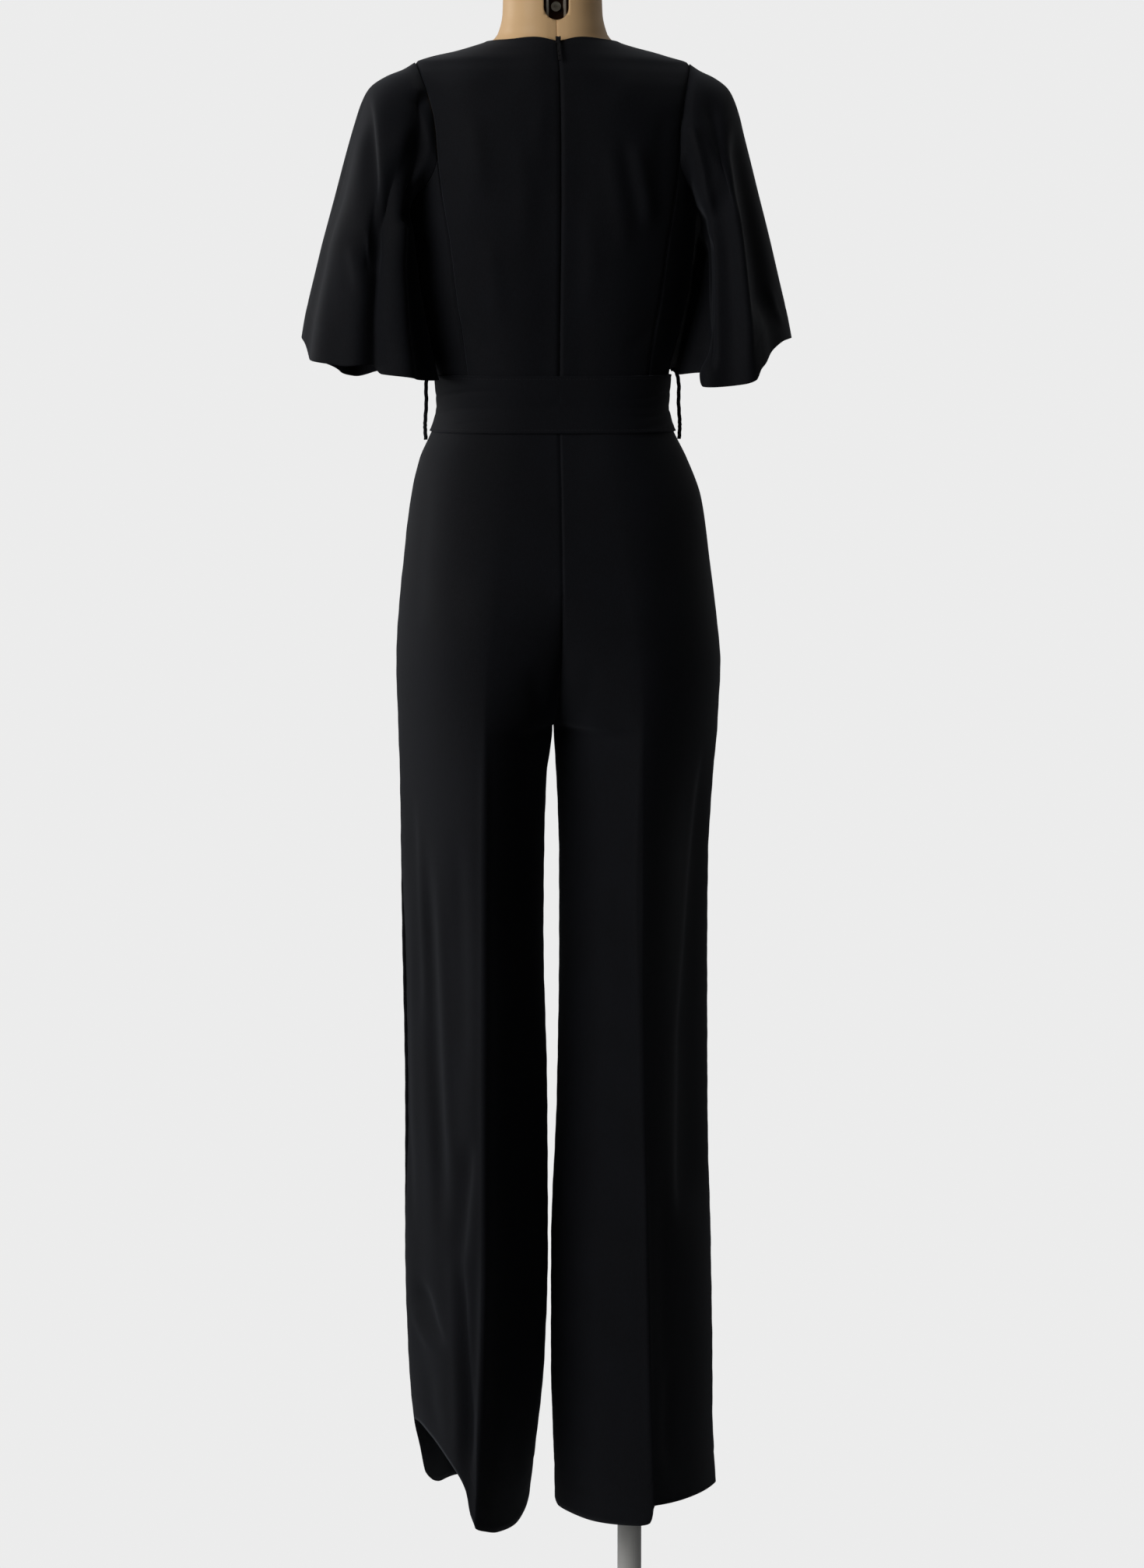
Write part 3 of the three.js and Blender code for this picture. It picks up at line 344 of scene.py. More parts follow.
# Outward directions of a grid of points.
def gridNormals(points, outwards):
    rows = np.gradient(points, axis=0)
    columns = np.gradient(points, axis=1)
    normal = np.cross(rows, columns)
    length = np.linalg.norm(normal, axis=-1, keepdims=True)
    normal /= np.maximum(length, 1e-9)
    middle = tuple(n // 2 for n in points.shape[:2])
    if np.dot(normal[middle], outwards(points[middle])) < 0:
        normal = -normal
    return normal


# How deep creases lie at places of the cloth, seen along Y. A negative depth is a ridge.
# A half width with two values is that of the left and the right side of the path, going down it.
def creaseDepth(x, z, creases):
    total = np.zeros_like(x)
    for path, half, depth, fade in creases:
        low, high = half if isinstance(half, tuple) else (half, half)
        path = np.array(path, float)
        pieces = np.diff(path, axis=0)
        lengths = np.hypot(*pieces.T)
        starts = np.concatenate([[0], np.cumsum(lengths)])
        nearest, along, turn = np.full_like(x, 1e9), np.zeros_like(x), np.zeros_like(x)
        for start, piece, length, before in zip(path, pieces, lengths, starts):
            t = clamp01(((x - start[0]) * piece[0] + (z - start[1]) * piece[1]) / length**2)
            away = np.hypot(x - start[0] - t * piece[0], z - start[1] - t * piece[1])
            closer = away < nearest
            beside = (x - start[0]) * piece[1] - (z - start[1]) * piece[0]
            turn = np.where(closer, beside, turn)
            nearest, along = np.where(closer, away, nearest), np.where(closer, before + t * length, along)
        ends = smooth(np.minimum(along, starts[-1] - along) / fade + 0.02)
        total += depth * ends * np.exp(-((nearest / np.where(turn > 0, low, high)) ** 2))
    return total


# Distance along the cloth from its four edges: low column, high column, first row, last row.
def edgeDistances(points):
    def runs(axis):
        step = np.linalg.norm(np.diff(points, axis=axis), axis=-1)
        start = np.zeros_like(np.take(step, [0], axis=axis))
        total = np.concatenate([start, np.cumsum(step, axis=axis)], axis=axis)
        return total, np.take(total, [-1], axis=axis) - total
    low, high = runs(1)
    first, last = runs(0)
    return low, high, first, last


# Seam allowances are pressed to the right, so a seam's two edges fall away unevenly: lip and slope.
cloth = {
    "thick": 1.1, "seamDepth": 1.4, "seamLip": 1.1, "seamSlope": 2.4,
    "pucker": 0.22, "puckerAt": 4, "puckerHalf": 6, "rippleEase": 25,
    "hemUp": 32, "hemDepth": 0.35, "hemHalf": 1.6,
}


# seamEdges are the edges sewn to a neighbour, which roll in, and hemEdges those with a turned hem.
def finishSurface(points, outwards, creases=(), seamEdges=(), hemEdges=(), ripple=0.5, seed=1.0, backOnly=False):
    normal = gridNormals(points, outwards)
    edges = dict(zip(("low", "high", "first", "last"), edgeDistances(points)))
    x, y, z = points[..., 0], points[..., 1], points[..., 2]
    sink = creaseDepth(x, z, creases) * (smooth(y / 20) if backOnly else 1)
    for name in seamEdges:
        ends = points[:, [0, -1], 0].mean(0)
        fall = cloth["seamLip"] if (ends[0] > ends[1]) == (name == "low") else cloth["seamSlope"]
        sink += cloth["seamDepth"] * np.exp(-((edges[name] / fall) ** 2))
        wave = np.sin(z * 0.19 + seed) * np.sin(z * 0.071 + 2 * seed)
        beside = np.exp(-(((edges[name] - cloth["puckerAt"]) / cloth["puckerHalf"]) ** 2))
        sink += cloth["pucker"] * wave * beside
    for name in hemEdges:
        sink += cloth["hemDepth"] * np.exp(-(((edges[name] - cloth["hemUp"]) / cloth["hemHalf"]) ** 2))
    sway = np.sin(x * 0.043 + z * 0.011 + seed) * np.sin(z * 0.019 - x * 0.017 + 1.7 * seed)
    sway += 0.6 * np.sin(x * 0.081 - y * 0.03 + z * 0.006 + 3 * seed)
    sink += ripple * sway * smooth(np.minimum(edges["low"], edges["high"]) / cloth["rippleEase"])
    return points - normal * sink[..., None], normal


# A closed thin shell from a grid of outer points; round joins the last column to the first.
def shellMesh(name, outer, normal, thick, material, round=False):
    inner = outer - normal * thick
    rows, columns = outer.shape[:2]
    count = rows * columns
    index = np.arange(count).reshape(rows, columns)
    if round:
        index = np.concatenate([index, index[:, :1]], 1)
    top = np.stack([index[:-1, :-1], index[:-1, 1:], index[1:, 1:], index[1:, :-1]], -1).reshape(-1, 4)
    sample = top[len(top) // 2]
    a, b, d = outer.reshape(-1, 3)[sample[[0, 1, 3]]]
    facing = np.dot(np.cross(b - a, d - a), normal.reshape(-1, 3)[sample[0]]) > 0
    if not facing:
        top = top[:, ::-1]
    under = top[:, ::-1] + count
    rims = [index[0], index[-1][::-1]]
    if not round:
        rims += [index[::-1, 0], index[:, -1]]
    sides = []
    for rim in rims:
        p, q = rim[:-1], rim[1:]
        side = np.stack([q, p, p + count, q + count], -1)
        sides.append(side if facing else side[:, ::-1])
    faces = np.concatenate([top, under, *sides])
    points = np.concatenate([outer.reshape(-1, 3), inner.reshape(-1, 3)]) / 1000
    mesh = bpy.data.meshes.new(name)
    mesh.from_pydata(points.tolist(), [], faces.tolist())
    flags = np.zeros(len(faces), bool)
    flags[: 2 * len(top)] = True
    mesh.polygons.foreach_set("use_smooth", flags)
    layClothMap(mesh, outer)
    mesh.materials.append(material)
    return addThing(name, mesh)


# The cloth's own map: each point's distance along the cloth from its first column and row.
def layClothMap(mesh, outer):
    low, _, first, _ = edgeDistances(outer)
    flat = np.stack([low, first], -1).reshape(-1, 2)
    flat = np.concatenate([flat, flat]) / 1000
    corners = np.zeros(len(mesh.loops), np.int32)
    mesh.loops.foreach_get("vertex_index", corners)
    layer = mesh.uv_layers.new(name="cloth")
    layer.data.foreach_set("uv", flat[corners].astype(np.float32).ravel())


# Puts a sheet in its node's place: hides the node's own part and hangs the sheet on the garment.
def putOn(piece, node):
    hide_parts(node)
    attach(piece, body)


def newMaterial(name):
    material = bpy.data.materials.new(name)
    material.use_nodes = True
    tree = material.node_tree
    tree.nodes.clear()
    shader = addNode(tree, "ShaderNodeBsdfPrincipled")
    addNode(tree, "ShaderNodeOutputMaterial", {"Surface": shader.outputs[0]})
    return material, tree, shader


# Crepe: a fine uneven pebble with a faint vertical thread, and broad patches where the pile lies another way.
def makeCrepeGroup():
    group = bpy.data.node_groups.new("crepeGrain", "ShaderNodeTree")
    addSockets(
        group, "INPUT",
        ("dark", "Color", (0.008, 0.008, 0.009, 1)), ("light", "Color", (0.016, 0.016, 0.018, 1)),
        ("pebble size", "Float", 0.9), ("patch size", "Float", 60.0), ("roughness", "Float", 0.8))
    addSockets(group, "OUTPUT", ("colour", "Color"), ("rough", "Float"), ("height", "Float"))
    inside = addNode(group, "NodeGroupInput").outputs
    place = addNode(group, "ShaderNodeTexCoord").outputs["Object"]

    def calculate(operation, a, b):
        return addNode(group, "ShaderNodeMath", {0: a, 1: b}, operation=operation).outputs[0]

    def noise(size, detail, squeeze=(1, 1, 1)):
        vector = addNode(group, "ShaderNodeMapping", {"Vector": place, "Scale": squeeze}).outputs[0]
        scale = calculate("DIVIDE", 1000, inside[size])
        inputs = {"Vector": vector, "Scale": scale, "Detail": detail}
        return addNode(group, "ShaderNodeTexNoise", inputs).outputs["Fac"]

    pebble, patch = noise("pebble size", 3), noise("patch size", 2)
    thread = noise("pebble size", 1, (0.9, 0.9, 0.18))
    grain = calculate("ADD", calculate("MULTIPLY", pebble, 0.65), calculate("MULTIPLY", thread, 0.35))
    share = calculate("ADD", calculate("MULTIPLY", grain, 0.7), calculate("MULTIPLY", patch, 0.3))
    spread = addNode(group, "ShaderNodeMapRange", {"Value": share, "From Min": 0.35, "From Max": 0.65})
    colours = {"Factor": spread.outputs[0], 6: inside["dark"], 7: inside["light"]}
    uneven = calculate("MULTIPLY", calculate("SUBTRACT", patch, 0.5), 0.12)
    addNode(group, "NodeGroupOutput", {
        "colour": addNode(group, "ShaderNodeMix", colours, data_type="RGBA").outputs[2],
        "rough": calculate("ADD", inside["roughness"], uneven),
        "height": grain,
    })
    return group
crepeLook = {
    "dark": (0.0040, 0.0043, 0.0060, 1), "light": (0.0075, 0.0082, 0.0118, 1),
    "pebble size": 0.9, "patch size": 60.0, "roughness": 0.78, "bump": 0.35, "sheen": 0.12,
}
crepeGrain = makeCrepeGroup()


def makeCloth(name, look):
    material, tree, shader = newMaterial(name)
    values = {key: look[key] for key in ("dark", "light", "pebble size", "patch size", "roughness")}
    grain = addNode(tree, "ShaderNodeGroup", node_tree=crepeGrain)
    feed(tree, grain, values)
    lift = {"Strength": look["bump"], "Distance": 0.0003, "Height": grain.outputs["height"]}
    feed(tree, shader, {
        "Base Color": grain.outputs["colour"], "Roughness": grain.outputs["rough"],
        "Normal": addNode(tree, "ShaderNodeBump", lift).outputs[0], "Specular IOR Level": 0.15,
        "Sheen Weight": look["sheen"], "Sheen Roughness": 0.5, "Sheen Tint": (0.6, 0.65, 0.75, 1),
    })
    return material
crepe = makeCloth("crepe", crepeLook)
tapeCloth = makeCloth("tapeCloth", {**crepeLook, "pebble size": 1.6, "bump": 0.6})
print("cloth materials made")


trousers = {
    "columns": 88, "hipRows": 80, "legRows": 150, "flat": (0.245, 1.16),
    "ripple": 0.45, "seamHold": 3, "seamLap": 0.15, "evenness": 0.6,
}

# Creases seen on the back, and like ones on the front: path of (x, z), half width, depth, fade at its ends.
legCreases = {
    "left": {
        "back": [
            ([(77, 1000), (78, 914), (79, 681), (80, 413), (88, 180)], 4, -2.2, 120),
            ([(135, 880), (132, 780), (126, 606), (119, 412)], (10, 5), 5.5, 140),
            ([(126, 860), (122, 780), (115, 606), (108, 440)], 6, -2.4, 140),
            ([(155, 836), (151, 552), (145, 413)], 5, 2.8, 120),
            ([(92, 560), (99, 480), (105, 400)], (5, 9), 4.5, 50),
            ([(104, 440), (99, 340), (95, 270), (97, 190)], (5, 12), 6.0, 60),
            ([(110, 450), (107, 350), (104, 260), (106, 195)], 6, -3.4, 60),
            ([(139, 398), (128, 352), (118, 324)], (5, 8), 4.2, 26),
            ([(146, 368), (136, 338), (126, 318)], 6, -2.6, 22),
            ([(133, 320), (131, 270), (122, 225)], 7, 2.0, 40),
            ([(55, 900), (46, 700), (40, 400)], 14, 1.2, 150),
            ([(146, 900), (142, 760), (138, 640)], (4, 8), 2.4, 70),
            ([(104, 880), (100, 720), (98, 580)], 7, 1.5, 90),
            ([(128, 1230), (138, 1130), (142, 1040)], 8, 1.2, 70),
            ([(30, 1035), (22, 985), (12, 940)], 10, 2.0, 40),
            ([(100, 1150), (104, 1090), (100, 1030)], 16, 1.2, 60),
        ],
        "front": [
            ([(77, 1000), (78, 914), (79, 681), (80, 413), (88, 180)], 4, -2.2, 120),
            ([(120, 760), (116, 560), (112, 330)], 9, 2.6, 120),
            ([(40, 880), (36, 620), (32, 380)], 10, 2.2, 120),
            ([(100, 420), (104, 330), (98, 240)], 7, 2.4, 60),
            ([(20, 1020), (34, 965), (52, 930)], 9, 2.2, 40),
        ],
    },
    "right": {
        "back": [
            ([(-76, 980), (-73, 837), (-72, 781), (-78, 592), (-82, 500), (-88, 170)], 4, -2.2, 120),
            ([(-151, 945), (-140, 832), (-132, 736), (-124, 654), (-123, 448)], (17, 5), 3.2, 60),
            ([(-100, 560), (-102, 400), (-104, 260)], 10, 1.8, 100),
            ([(-40, 900), (-36, 660), (-34, 400)], 15, 1.3, 150),
            ([(-60, 330), (-58, 250), (-52, 180)], 10, 1.2, 60),
            ([(-22, 880), (-27, 700), (-24, 520)], 8, -1.2, 90),
            ([(-62, 760), (-56, 560), (-58, 360)], 9, 1.4, 110),
            ([(-112, 330), (-106, 250), (-108, 190)], 8, 1.8, 50),
            ([(-30, 1035), (-24, 985), (-14, 940)], 10, 1.6, 40),
            ([(-100, 1150), (-104, 1090), (-98, 1030)], 16, 1.0, 60),
        ],
        "front": [
            ([(-76, 980), (-73, 837), (-72, 781), (-78, 592), (-82, 500), (-88, 170)], 4, -2.2, 120),
            ([(-125, 860), (-118, 640), (-114, 420)], 9, 2.8, 100),
            ([(-40, 800), (-36, 560), (-38, 300)], 11, 2.0, 120),
            ([(-20, 1020), (-34, 965), (-52, 930)], 9, 2.2, 40),
        ],
    },
}


def legGrid(name, face, v):
    across = 2 * (0.5 - 0.5 * np.cos(np.linspace(0, math.pi, v["columns"])))
    across = mix(across, np.linspace(0, 2, v["columns"]), v["evenness"])
    low = follow(hems[name][face], "height", across, "across")
    hip = np.linspace(levels["waist"], levels["crotch"], v["hipRows"])[:, None] + 0 * low
    fall = np.linspace(0, 1, v["legRows"] + 1)[1:, None]
    height = np.concatenate([hip, mix(levels["crotch"], low, fall)])
    return legPoint(across + 0 * height, height, name, face)


def makeLeg(name, face, v, seed):
    points = legGrid(name, face, v)
    outwards = lambda p: np.array([0, 1.0 if face == "back" else -1.0, 0])
    outer, normal = finishSurface(
        points, outwards, legCreases[name][face], ("low", "high"), ("last",), v["ripple"], seed)
    # The seat seam stays shut above the crotch, where the cloth turns in steeply beside it.
    nearSeam = np.exp(-((edgeDistances(points)[1] / v["seamHold"]) ** 2)) * (points[..., 2] > levels["crotch"] - 1)
    side = 1 if name == "left" else -1
    outer[..., 0] = mix(outer[..., 0], points[..., 0] - side * v["seamLap"], nearSeam)
    piece = shellMesh(f"leg{face.title()}{name.title()}", outer, normal, cloth["thick"], crepe)
    putOn(piece, f"leg_{face}_{name}")


legPanels = (("left", "back"), ("left", "front"), ("right", "back"), ("right", "front"))
for number, (name, face) in enumerate(legPanels):
    makeLeg(name, face, trousers, 1.3 + number)
print("trousers made")


bodice = {
    "columns": 64, "waistRows": 10, "rows": 90, "ripple": 0.7,
    "neckDip": 4.2, "neckRise": 2.6, "neckSteps": 5, "shoulderSteps": 3,
    "middleFlat": (0.165, 0.40), "frontFlat": (0.33, 0.40), "sideFlat": (0.13, 0.26),
}

# Troughs stay shallow, as the form lies close under them; the ridges beside them give the depth.
bodiceCreases = {
    "back_middle_left": [
        ([(0, 1650), (0, 1300)], 1.8, 0.8, 4),
        ([(106, 1560), (100, 1510), (96, 1450)], (8, 12), 1.0, 40),
        ([(88, 1575), (82, 1520), (78, 1470)], 11, -2.0, 40),
        ([(60, 1330), (84, 1345), (104, 1372)], 7, 1.0, 20),
        ([(72, 1450), (66, 1400), (58, 1350)], 10, -1.6, 34),
        ([(30, 1620), (60, 1590), (96, 1560)], 14, 0.8, 30),
        ([(40, 1560), (34, 1490), (38, 1420)], 12, -1.4, 50),
        ([(14, 1600), (22, 1540), (18, 1480)], 9, -1.2, 50),
    ],
    "back_middle_right": [
        ([(0, 1650), (0, 1300)], 1.8, 0.8, 4),
        ([(-106, 1572), (-100, 1535), (-98, 1490), (-100, 1450)], (8, 9), 1.2, 26),
        ([(-72, 1545), (-80, 1500), (-90, 1448)], (9, 7), -3.4, 28),
        ([(-58, 1550), (-66, 1500), (-80, 1440)], 6, 0.9, 28),
        ([(-46, 1540), (-54, 1490), (-66, 1420)], 9, -1.8, 34),
        ([(-60, 1330), (-84, 1345), (-104, 1372)], 7, 0.9, 20),
        ([(-84, 1604), (-60, 1580), (-40, 1566)], 12, -1.4, 30),
        ([(-24, 1480), (-30, 1420), (-26, 1360)], 10, -1.4, 40),
    ],
    "front_middle": [
        ([(50, 1390), (78, 1360), (96, 1330)], 9, -1.4, 25),
        ([(-50, 1390), (-78, 1360), (-96, 1330)], 9, -1.4, 25),
        ([(112, 1540), (100, 1500), (86, 1470)], 9, -1.8, 25),
        ([(-112, 1540), (-100, 1500), (-86, 1470)], 9, -1.8, 25),
    ],
}


def bodiceRows(v, top):
    first = np.linspace(levels["waist"], levels["beltTop"], v["waistRows"] + 1)[:-1, None] + 0 * top
    rise = np.linspace(0, 1, v["rows"])[:, None]
    return np.concatenate([first, mix(levels["beltTop"], top, rise)])


# The panel's top edge from the middle out: round the neck, then along the shoulder's ridge.
def middleTops(face, even, v):
    steps = v["neckSteps"] + v["shoulderSteps"]
    angle = clamp01(even * steps / v["neckSteps"]) * math.pi / 2
    neckX = levels["necklineHalf"] * np.sin(angle)
    neckZ = heightOn(neckX, levels["neckline"][face] * np.cos(angle), face)
    if face == "back":
        neckZ = neckZ - v["neckDip"] * np.cos(angle) ** 2 + v["neckRise"] * np.sin(2 * angle) ** 2
    outward = clamp01((even * steps - v["neckSteps"]) / v["shoulderSteps"])
    shoulderX = mix(levels["necklineHalf"], levels["shoulderX"], outward)
    onNeck = even <= v["neckSteps"] / steps
    return np.where(onNeck, neckX, shoulderX), np.where(onNeck, neckZ, ridgeHeight(shoulderX))


def middleGrid(face, side, v):
    even = np.linspace(0, 1, v["columns"])
    topX, topZ = middleTops(face, even, v)
    up = np.linspace(0, 1, v["rows"])
    armhole = mix(levels["junction"], levels["shoulder"], np.sin(clamp01((up - 0.5) * 2) * math.pi / 2))
    seamUp = np.where(up <= 0.5, mix(levels["beltTop"], levels["junction"], up * 2), armhole)
    waistUp = np.linspace(levels["waist"], levels["beltTop"], v["waistRows"] + 1)[:-1]
    seamHeight = np.concatenate([waistUp, seamUp])[:, None]
    rise = clamp01((seamHeight - levels["beltTop"]) / (levels["shoulder"] - levels["beltTop"]))
    height = np.where(rise == 0, seamHeight, mix(levels["beltTop"], topZ, rise))
    share = mix(even, topX / levels["shoulderX"], rise**3)
    across = acrossAt(share * follow(seams[face], "x", seamHeight), height)
    return bodyPoint(across, height, face, side)


def lowerArmhole(face, share):
    height = mix(levels["junction"], levels["armholeBottom"], np.sin(share * math.pi / 2))
    start = acrossAt(follow(seams[face], "x", np.full_like(share, levels["junction"])), height)
    return height, start * clamp01(np.cos(share * math.pi / 2)) ** 1.1


def sideGrid(face, side, v):
    share = np.linspace(0, 1, v["columns"])
    topHeight, topAcross = lowerArmhole(face, share)
    height = bodiceRows(v, topHeight)
    seamHeight = bodiceRows(v, np.full_like(share, levels["junction"]))
    rise = (seamHeight - levels["waist"]) / (levels["junction"] - levels["waist"])
    seamAcross = lambda z: acrossAt(follow(seams[face], "x", z), z)
    waist, junction = seamAcross(np.float64(levels["waist"])), seamAcross(np.float64(levels["junction"]))
    level = mix((1 - share) * waist, topAcross, rise)
    across = level + (1 - share) * (seamAcross(seamHeight) - mix(waist, junction, rise))
    return bodyPoint(np.maximum(0, across), height, face, side)


def makeBodicePiece(node, points, outward, seed):
    outer, normal = finishSurface(
        points, lambda p: np.array(outward), bodiceCreases.get(node, ()), ("low", "high"),
        ripple=bodice["ripple"], seed=seed)
    first, *others = node.split("_")
    piece = shellMesh(first + "".join(word.title() for word in others), outer, normal, cloth["thick"], crepe)
    putOn(piece, node)
for word, side in (("left", 1), ("right", -1)):
    makeBodicePiece(
        f"back_middle_{word}", middleGrid("back", side, bodice), (0, 1.0, 0), 2.0 + side)
    for face, sign in (("back", 1.0), ("front", -1.0)):
        points = sideGrid(face, side, bodice)
        makeBodicePiece(f"{face}_side_{word}", points, (side, sign * 0.5, 0), 4.0 + side)
frontHalf = middleGrid("front", 1, bodice)
mirrored = frontHalf[:, :0:-1] * np.array([-1, 1, 1])
makeBodicePiece(
    "front_middle", np.concatenate([mirrored, frontHalf], 1), (0, -1.0, 0), 5.5)
print("bodice made")


sleeveRows = table(
    "outX outZ inX inZ back front pinch",
    (149, 1609, 146.5, 1466, 74, 84, 18),
    (166, 1602, 146.5, 1457, 80, 87, 14),
    (181, 1592, 146, 1448, 84, 89, 10),
    (190, 1577, 145, 1438, 87, 91, 7),
    (198, 1553, 144, 1426, 89, 93, 4),
    (206, 1524, 142, 1412, 90, 94, 2),
    (215, 1488, 140, 1395, 91, 95, 0),
    (225, 1448, 136, 1374, 93, 96, 0),
    (236, 1400, 131, 1351, 95, 97, 0),
    (243, 1368, 125, 1328, 97, 100, 0),
    (247, 1344, 122, 1322, 98, 102, 0),
)

# Place in degrees from the outer line over the back, half width, out, start.
sleeveWaves = {
    "left": [
        *[(6, 12, 5, 0.4), (38, 15, 8, 0.1), (92, 12, -15, -0.1), (117, 12, 13, -0.3)],
        *[(153, 13, 11, -0.2), (210, 20, 7, 0.1), (246, 18, -11, 0.4), (276, 20, 12, 0.25)],
        *[(306, 18, -11, 0.4), (328, 12, 4, 0.4), (346, 12, -3, 0.4)],
    ],
    "right": [
        *[(4, 10, 2, 0.4), (42, 24, -12, -0.1), (84, 10, 7, -0.1), (121, 11, 12, -0.2)],
        *[(148, 11, -14, -0.1), (204, 18, 7, 0), (242, 18, -10, 0.4), (270, 20, 12, 0.25)],
        *[(300, 18, -10, 0.4), (330, 16, 7, 0.4)],
    ],
}


# How much lower the hem hangs than its tilted ring.
hemDrops = {
    "left": table(
        "at drop",
        *[(0, -4), (12, 2), (27, 19), (60, 20), (90, 14), (100, 21)],
        *[(135, 21), (152, 20), (168, 15), (180, 3), (200, 2), (230, 10)],
        *[(260, 22), (278, 30), (300, 28), (320, 22), (333, 16), (346, -2)],
        *[(360, -4)],
    ),
    "right": table(
        "at drop",
        *[(0, -1), (22, 1), (38, 7), (52, 13), (62, 18), (72, 22)],
        *[(80, 31), (90, 33), (110, 32), (122, 30), (135, 14), (152, 13)],
        *[(166, 14), (180, 11), (200, 7), (230, 9), (258, 16), (285, 15)],
        *[(310, 8), (335, 2), (360, -1)],
    ),
}
sleeves = {
    "columns": 340, "perRing": 9, "flat": (0.80, 0.33), "ripple": 0.3, "rightReach": (0.83, 0.1),
    "armholeSteps": (9, 8), "clear": 0.42, "tuck": 3.2, "tuckTop": (1585, 30), "squareness": 0.9, "hemFrom": 4,
}

# On the back only. Left: the long edge with the valley beside it, the hollow by the armhole, a crumple.
sleeveCreases = {
    "left": [
        ([(188, 1594), (184, 1545), (181, 1500), (179, 1430), (181, 1390)], (4, 11), 5.5, 50),
        ([(178, 1580), (176, 1540), (174, 1490), (173, 1400), (173, 1318)], (12, 6), -2.2, 40),
        ([(133, 1588), (133, 1550), (137, 1518), (144, 1486), (149, 1452)], (5, 11), 8.5, 14),
        ([(152, 1560), (158, 1510), (162, 1460)], 9, -3.5, 30),
        ([(196, 1452), (191, 1428), (184, 1404)], (4, 7), 3.0, 16),
        ([(206, 1440), (200, 1410), (194, 1385)], 6, -1.8, 18),
        ([(222, 1440), (226, 1390), (228, 1350)], 9, 1.2, 30),
        ([(208, 1560), (214, 1500), (222, 1430)], 14, 3.5, 60),
    ],
    "right": [
        ([(-130, 1566), (-136, 1536), (-144, 1505), (-150, 1460)], (4, 10), -5.0, 22),
        ([(-148, 1590), (-156, 1550), (-163, 1500), (-168, 1460)], 10, 7.0, 30),
        ([(-166, 1540), (-173, 1490), (-179, 1440), (-184, 1384), (-187, 1310)], (4, 8), -2.4, 40),
        ([(-178, 1560), (-188, 1480), (-196, 1420), (-203, 1350)], 11, 7.5, 40),
        ([(-145, 1450), (-147, 1400), (-149, 1310)], (4, 15), 8.0, 24),
        ([(-212, 1400), (-218, 1374), (-228, 1354)], 4, -1.2, 16),
    ],
}


# The armhole's outer edge all round, as the bodice has it, in steps of its own.
def armholeRing(side, v):
    upperSteps, lowerSteps = v["armholeSteps"]
    half = upperSteps + lowerSteps
    turn = np.linspace(0, 2 * half, v["columns"], endpoint=False)
    ring = np.zeros((v["columns"], 3))
    for face, place in (("back", turn), ("front", 2 * half - turn)):
        mine = turn <= half if face == "back" else turn > half
        upper, lower = mine & (place <= upperSteps), mine & (place > upperSteps)
        rise = np.sin((upperSteps - np.minimum(place, upperSteps)) / upperSteps * math.pi / 2)
        height = mix(levels["junction"], levels["shoulder"], rise)
        seam = acrossAt(follow(seams[face], "x", height), height)
        ring[upper] = bodyPoint(seam, height, face, side)[upper]
        height, across = lowerArmhole(face, clamp01((place - upperSteps) / lowerSteps))
        ring[lower] = bodyPoint(across, height, face, side)[lower]
    return ring


def sleeveRing(i, name, v):
    row = {key: value[i] for key, value in sleeveRows.items()}
    last = len(sleeveRows["outX"]) - 1
    if name == "right":
        low, rise = v["rightReach"]
        row["outX"] = levels["shoulderX"] + (row["outX"] - levels["shoulderX"]) * (low + rise * i / last)
    down = (i + 1) / (last + 1)
    degrees = np.linspace(0, 360, v["columns"], endpoint=False)
    angle = np.radians(degrees)
    out = 0
    for at, half, reach, start in sleeveWaves[name]:
        swell = np.exp(-((((degrees - at + 540) % 360 - 180) / half) ** 2))
        out = out + reach * swell * smooth((down - start) / (1 - start)) ** v["squareness"]
    drop = follow(hemDrops[name], "drop", degrees, "at") * down ** v["hemFrom"]
    depth = np.where(degrees <= 180, row["back"], row["front"])
    reachX, reachZ = (row["outX"] - row["inX"]) / 2, (row["outZ"] - row["inZ"]) / 2
    x = (row["outX"] + row["inX"]) / 2 + reachX * np.cos(angle) - row["pinch"] * np.sin(angle) ** 2
    y = np.sign(np.sin(angle)) * np.abs(np.sin(angle)) ** v["squareness"] * depth
    z = (row["outZ"] + row["inZ"]) / 2 + reachZ * np.cos(angle) - drop
    outward = np.stack([np.cos(angle) * depth, np.sin(angle) * math.hypot(reachX, reachZ)], -1)
    outward /= np.linalg.norm(outward, axis=-1, keepdims=True)
    side = 1 if name == "left" else -1
    return np.stack([side * (x + outward[:, 0] * out), y + outward[:, 1] * out, z], -1)


# Fine rows between coarse ones, on a smooth line through them.
def refineRows(rings, per):
    rings = np.array(rings)
    before = np.concatenate([rings[:1], rings[:-1]])[:-1]
    after = np.concatenate([rings[2:], rings[-1:]])
    start, end = rings[:-1], rings[1:]
    fine = []
    for t in np.linspace(0, 1, per, endpoint=False):
        a = -0.5 * t + t * t - 0.5 * t**3
        b = 1 - 2.5 * t * t + 1.5 * t**3
        c = 0.5 * t + 2 * t * t - 1.5 * t**3
        d = -0.5 * t * t + 0.5 * t**3
        fine.append(a * before + b * start + c * end + d * after)
    fine = np.stack(fine, 1).reshape(-1, *rings.shape[1:])
    return np.concatenate([fine, rings[-1:]])


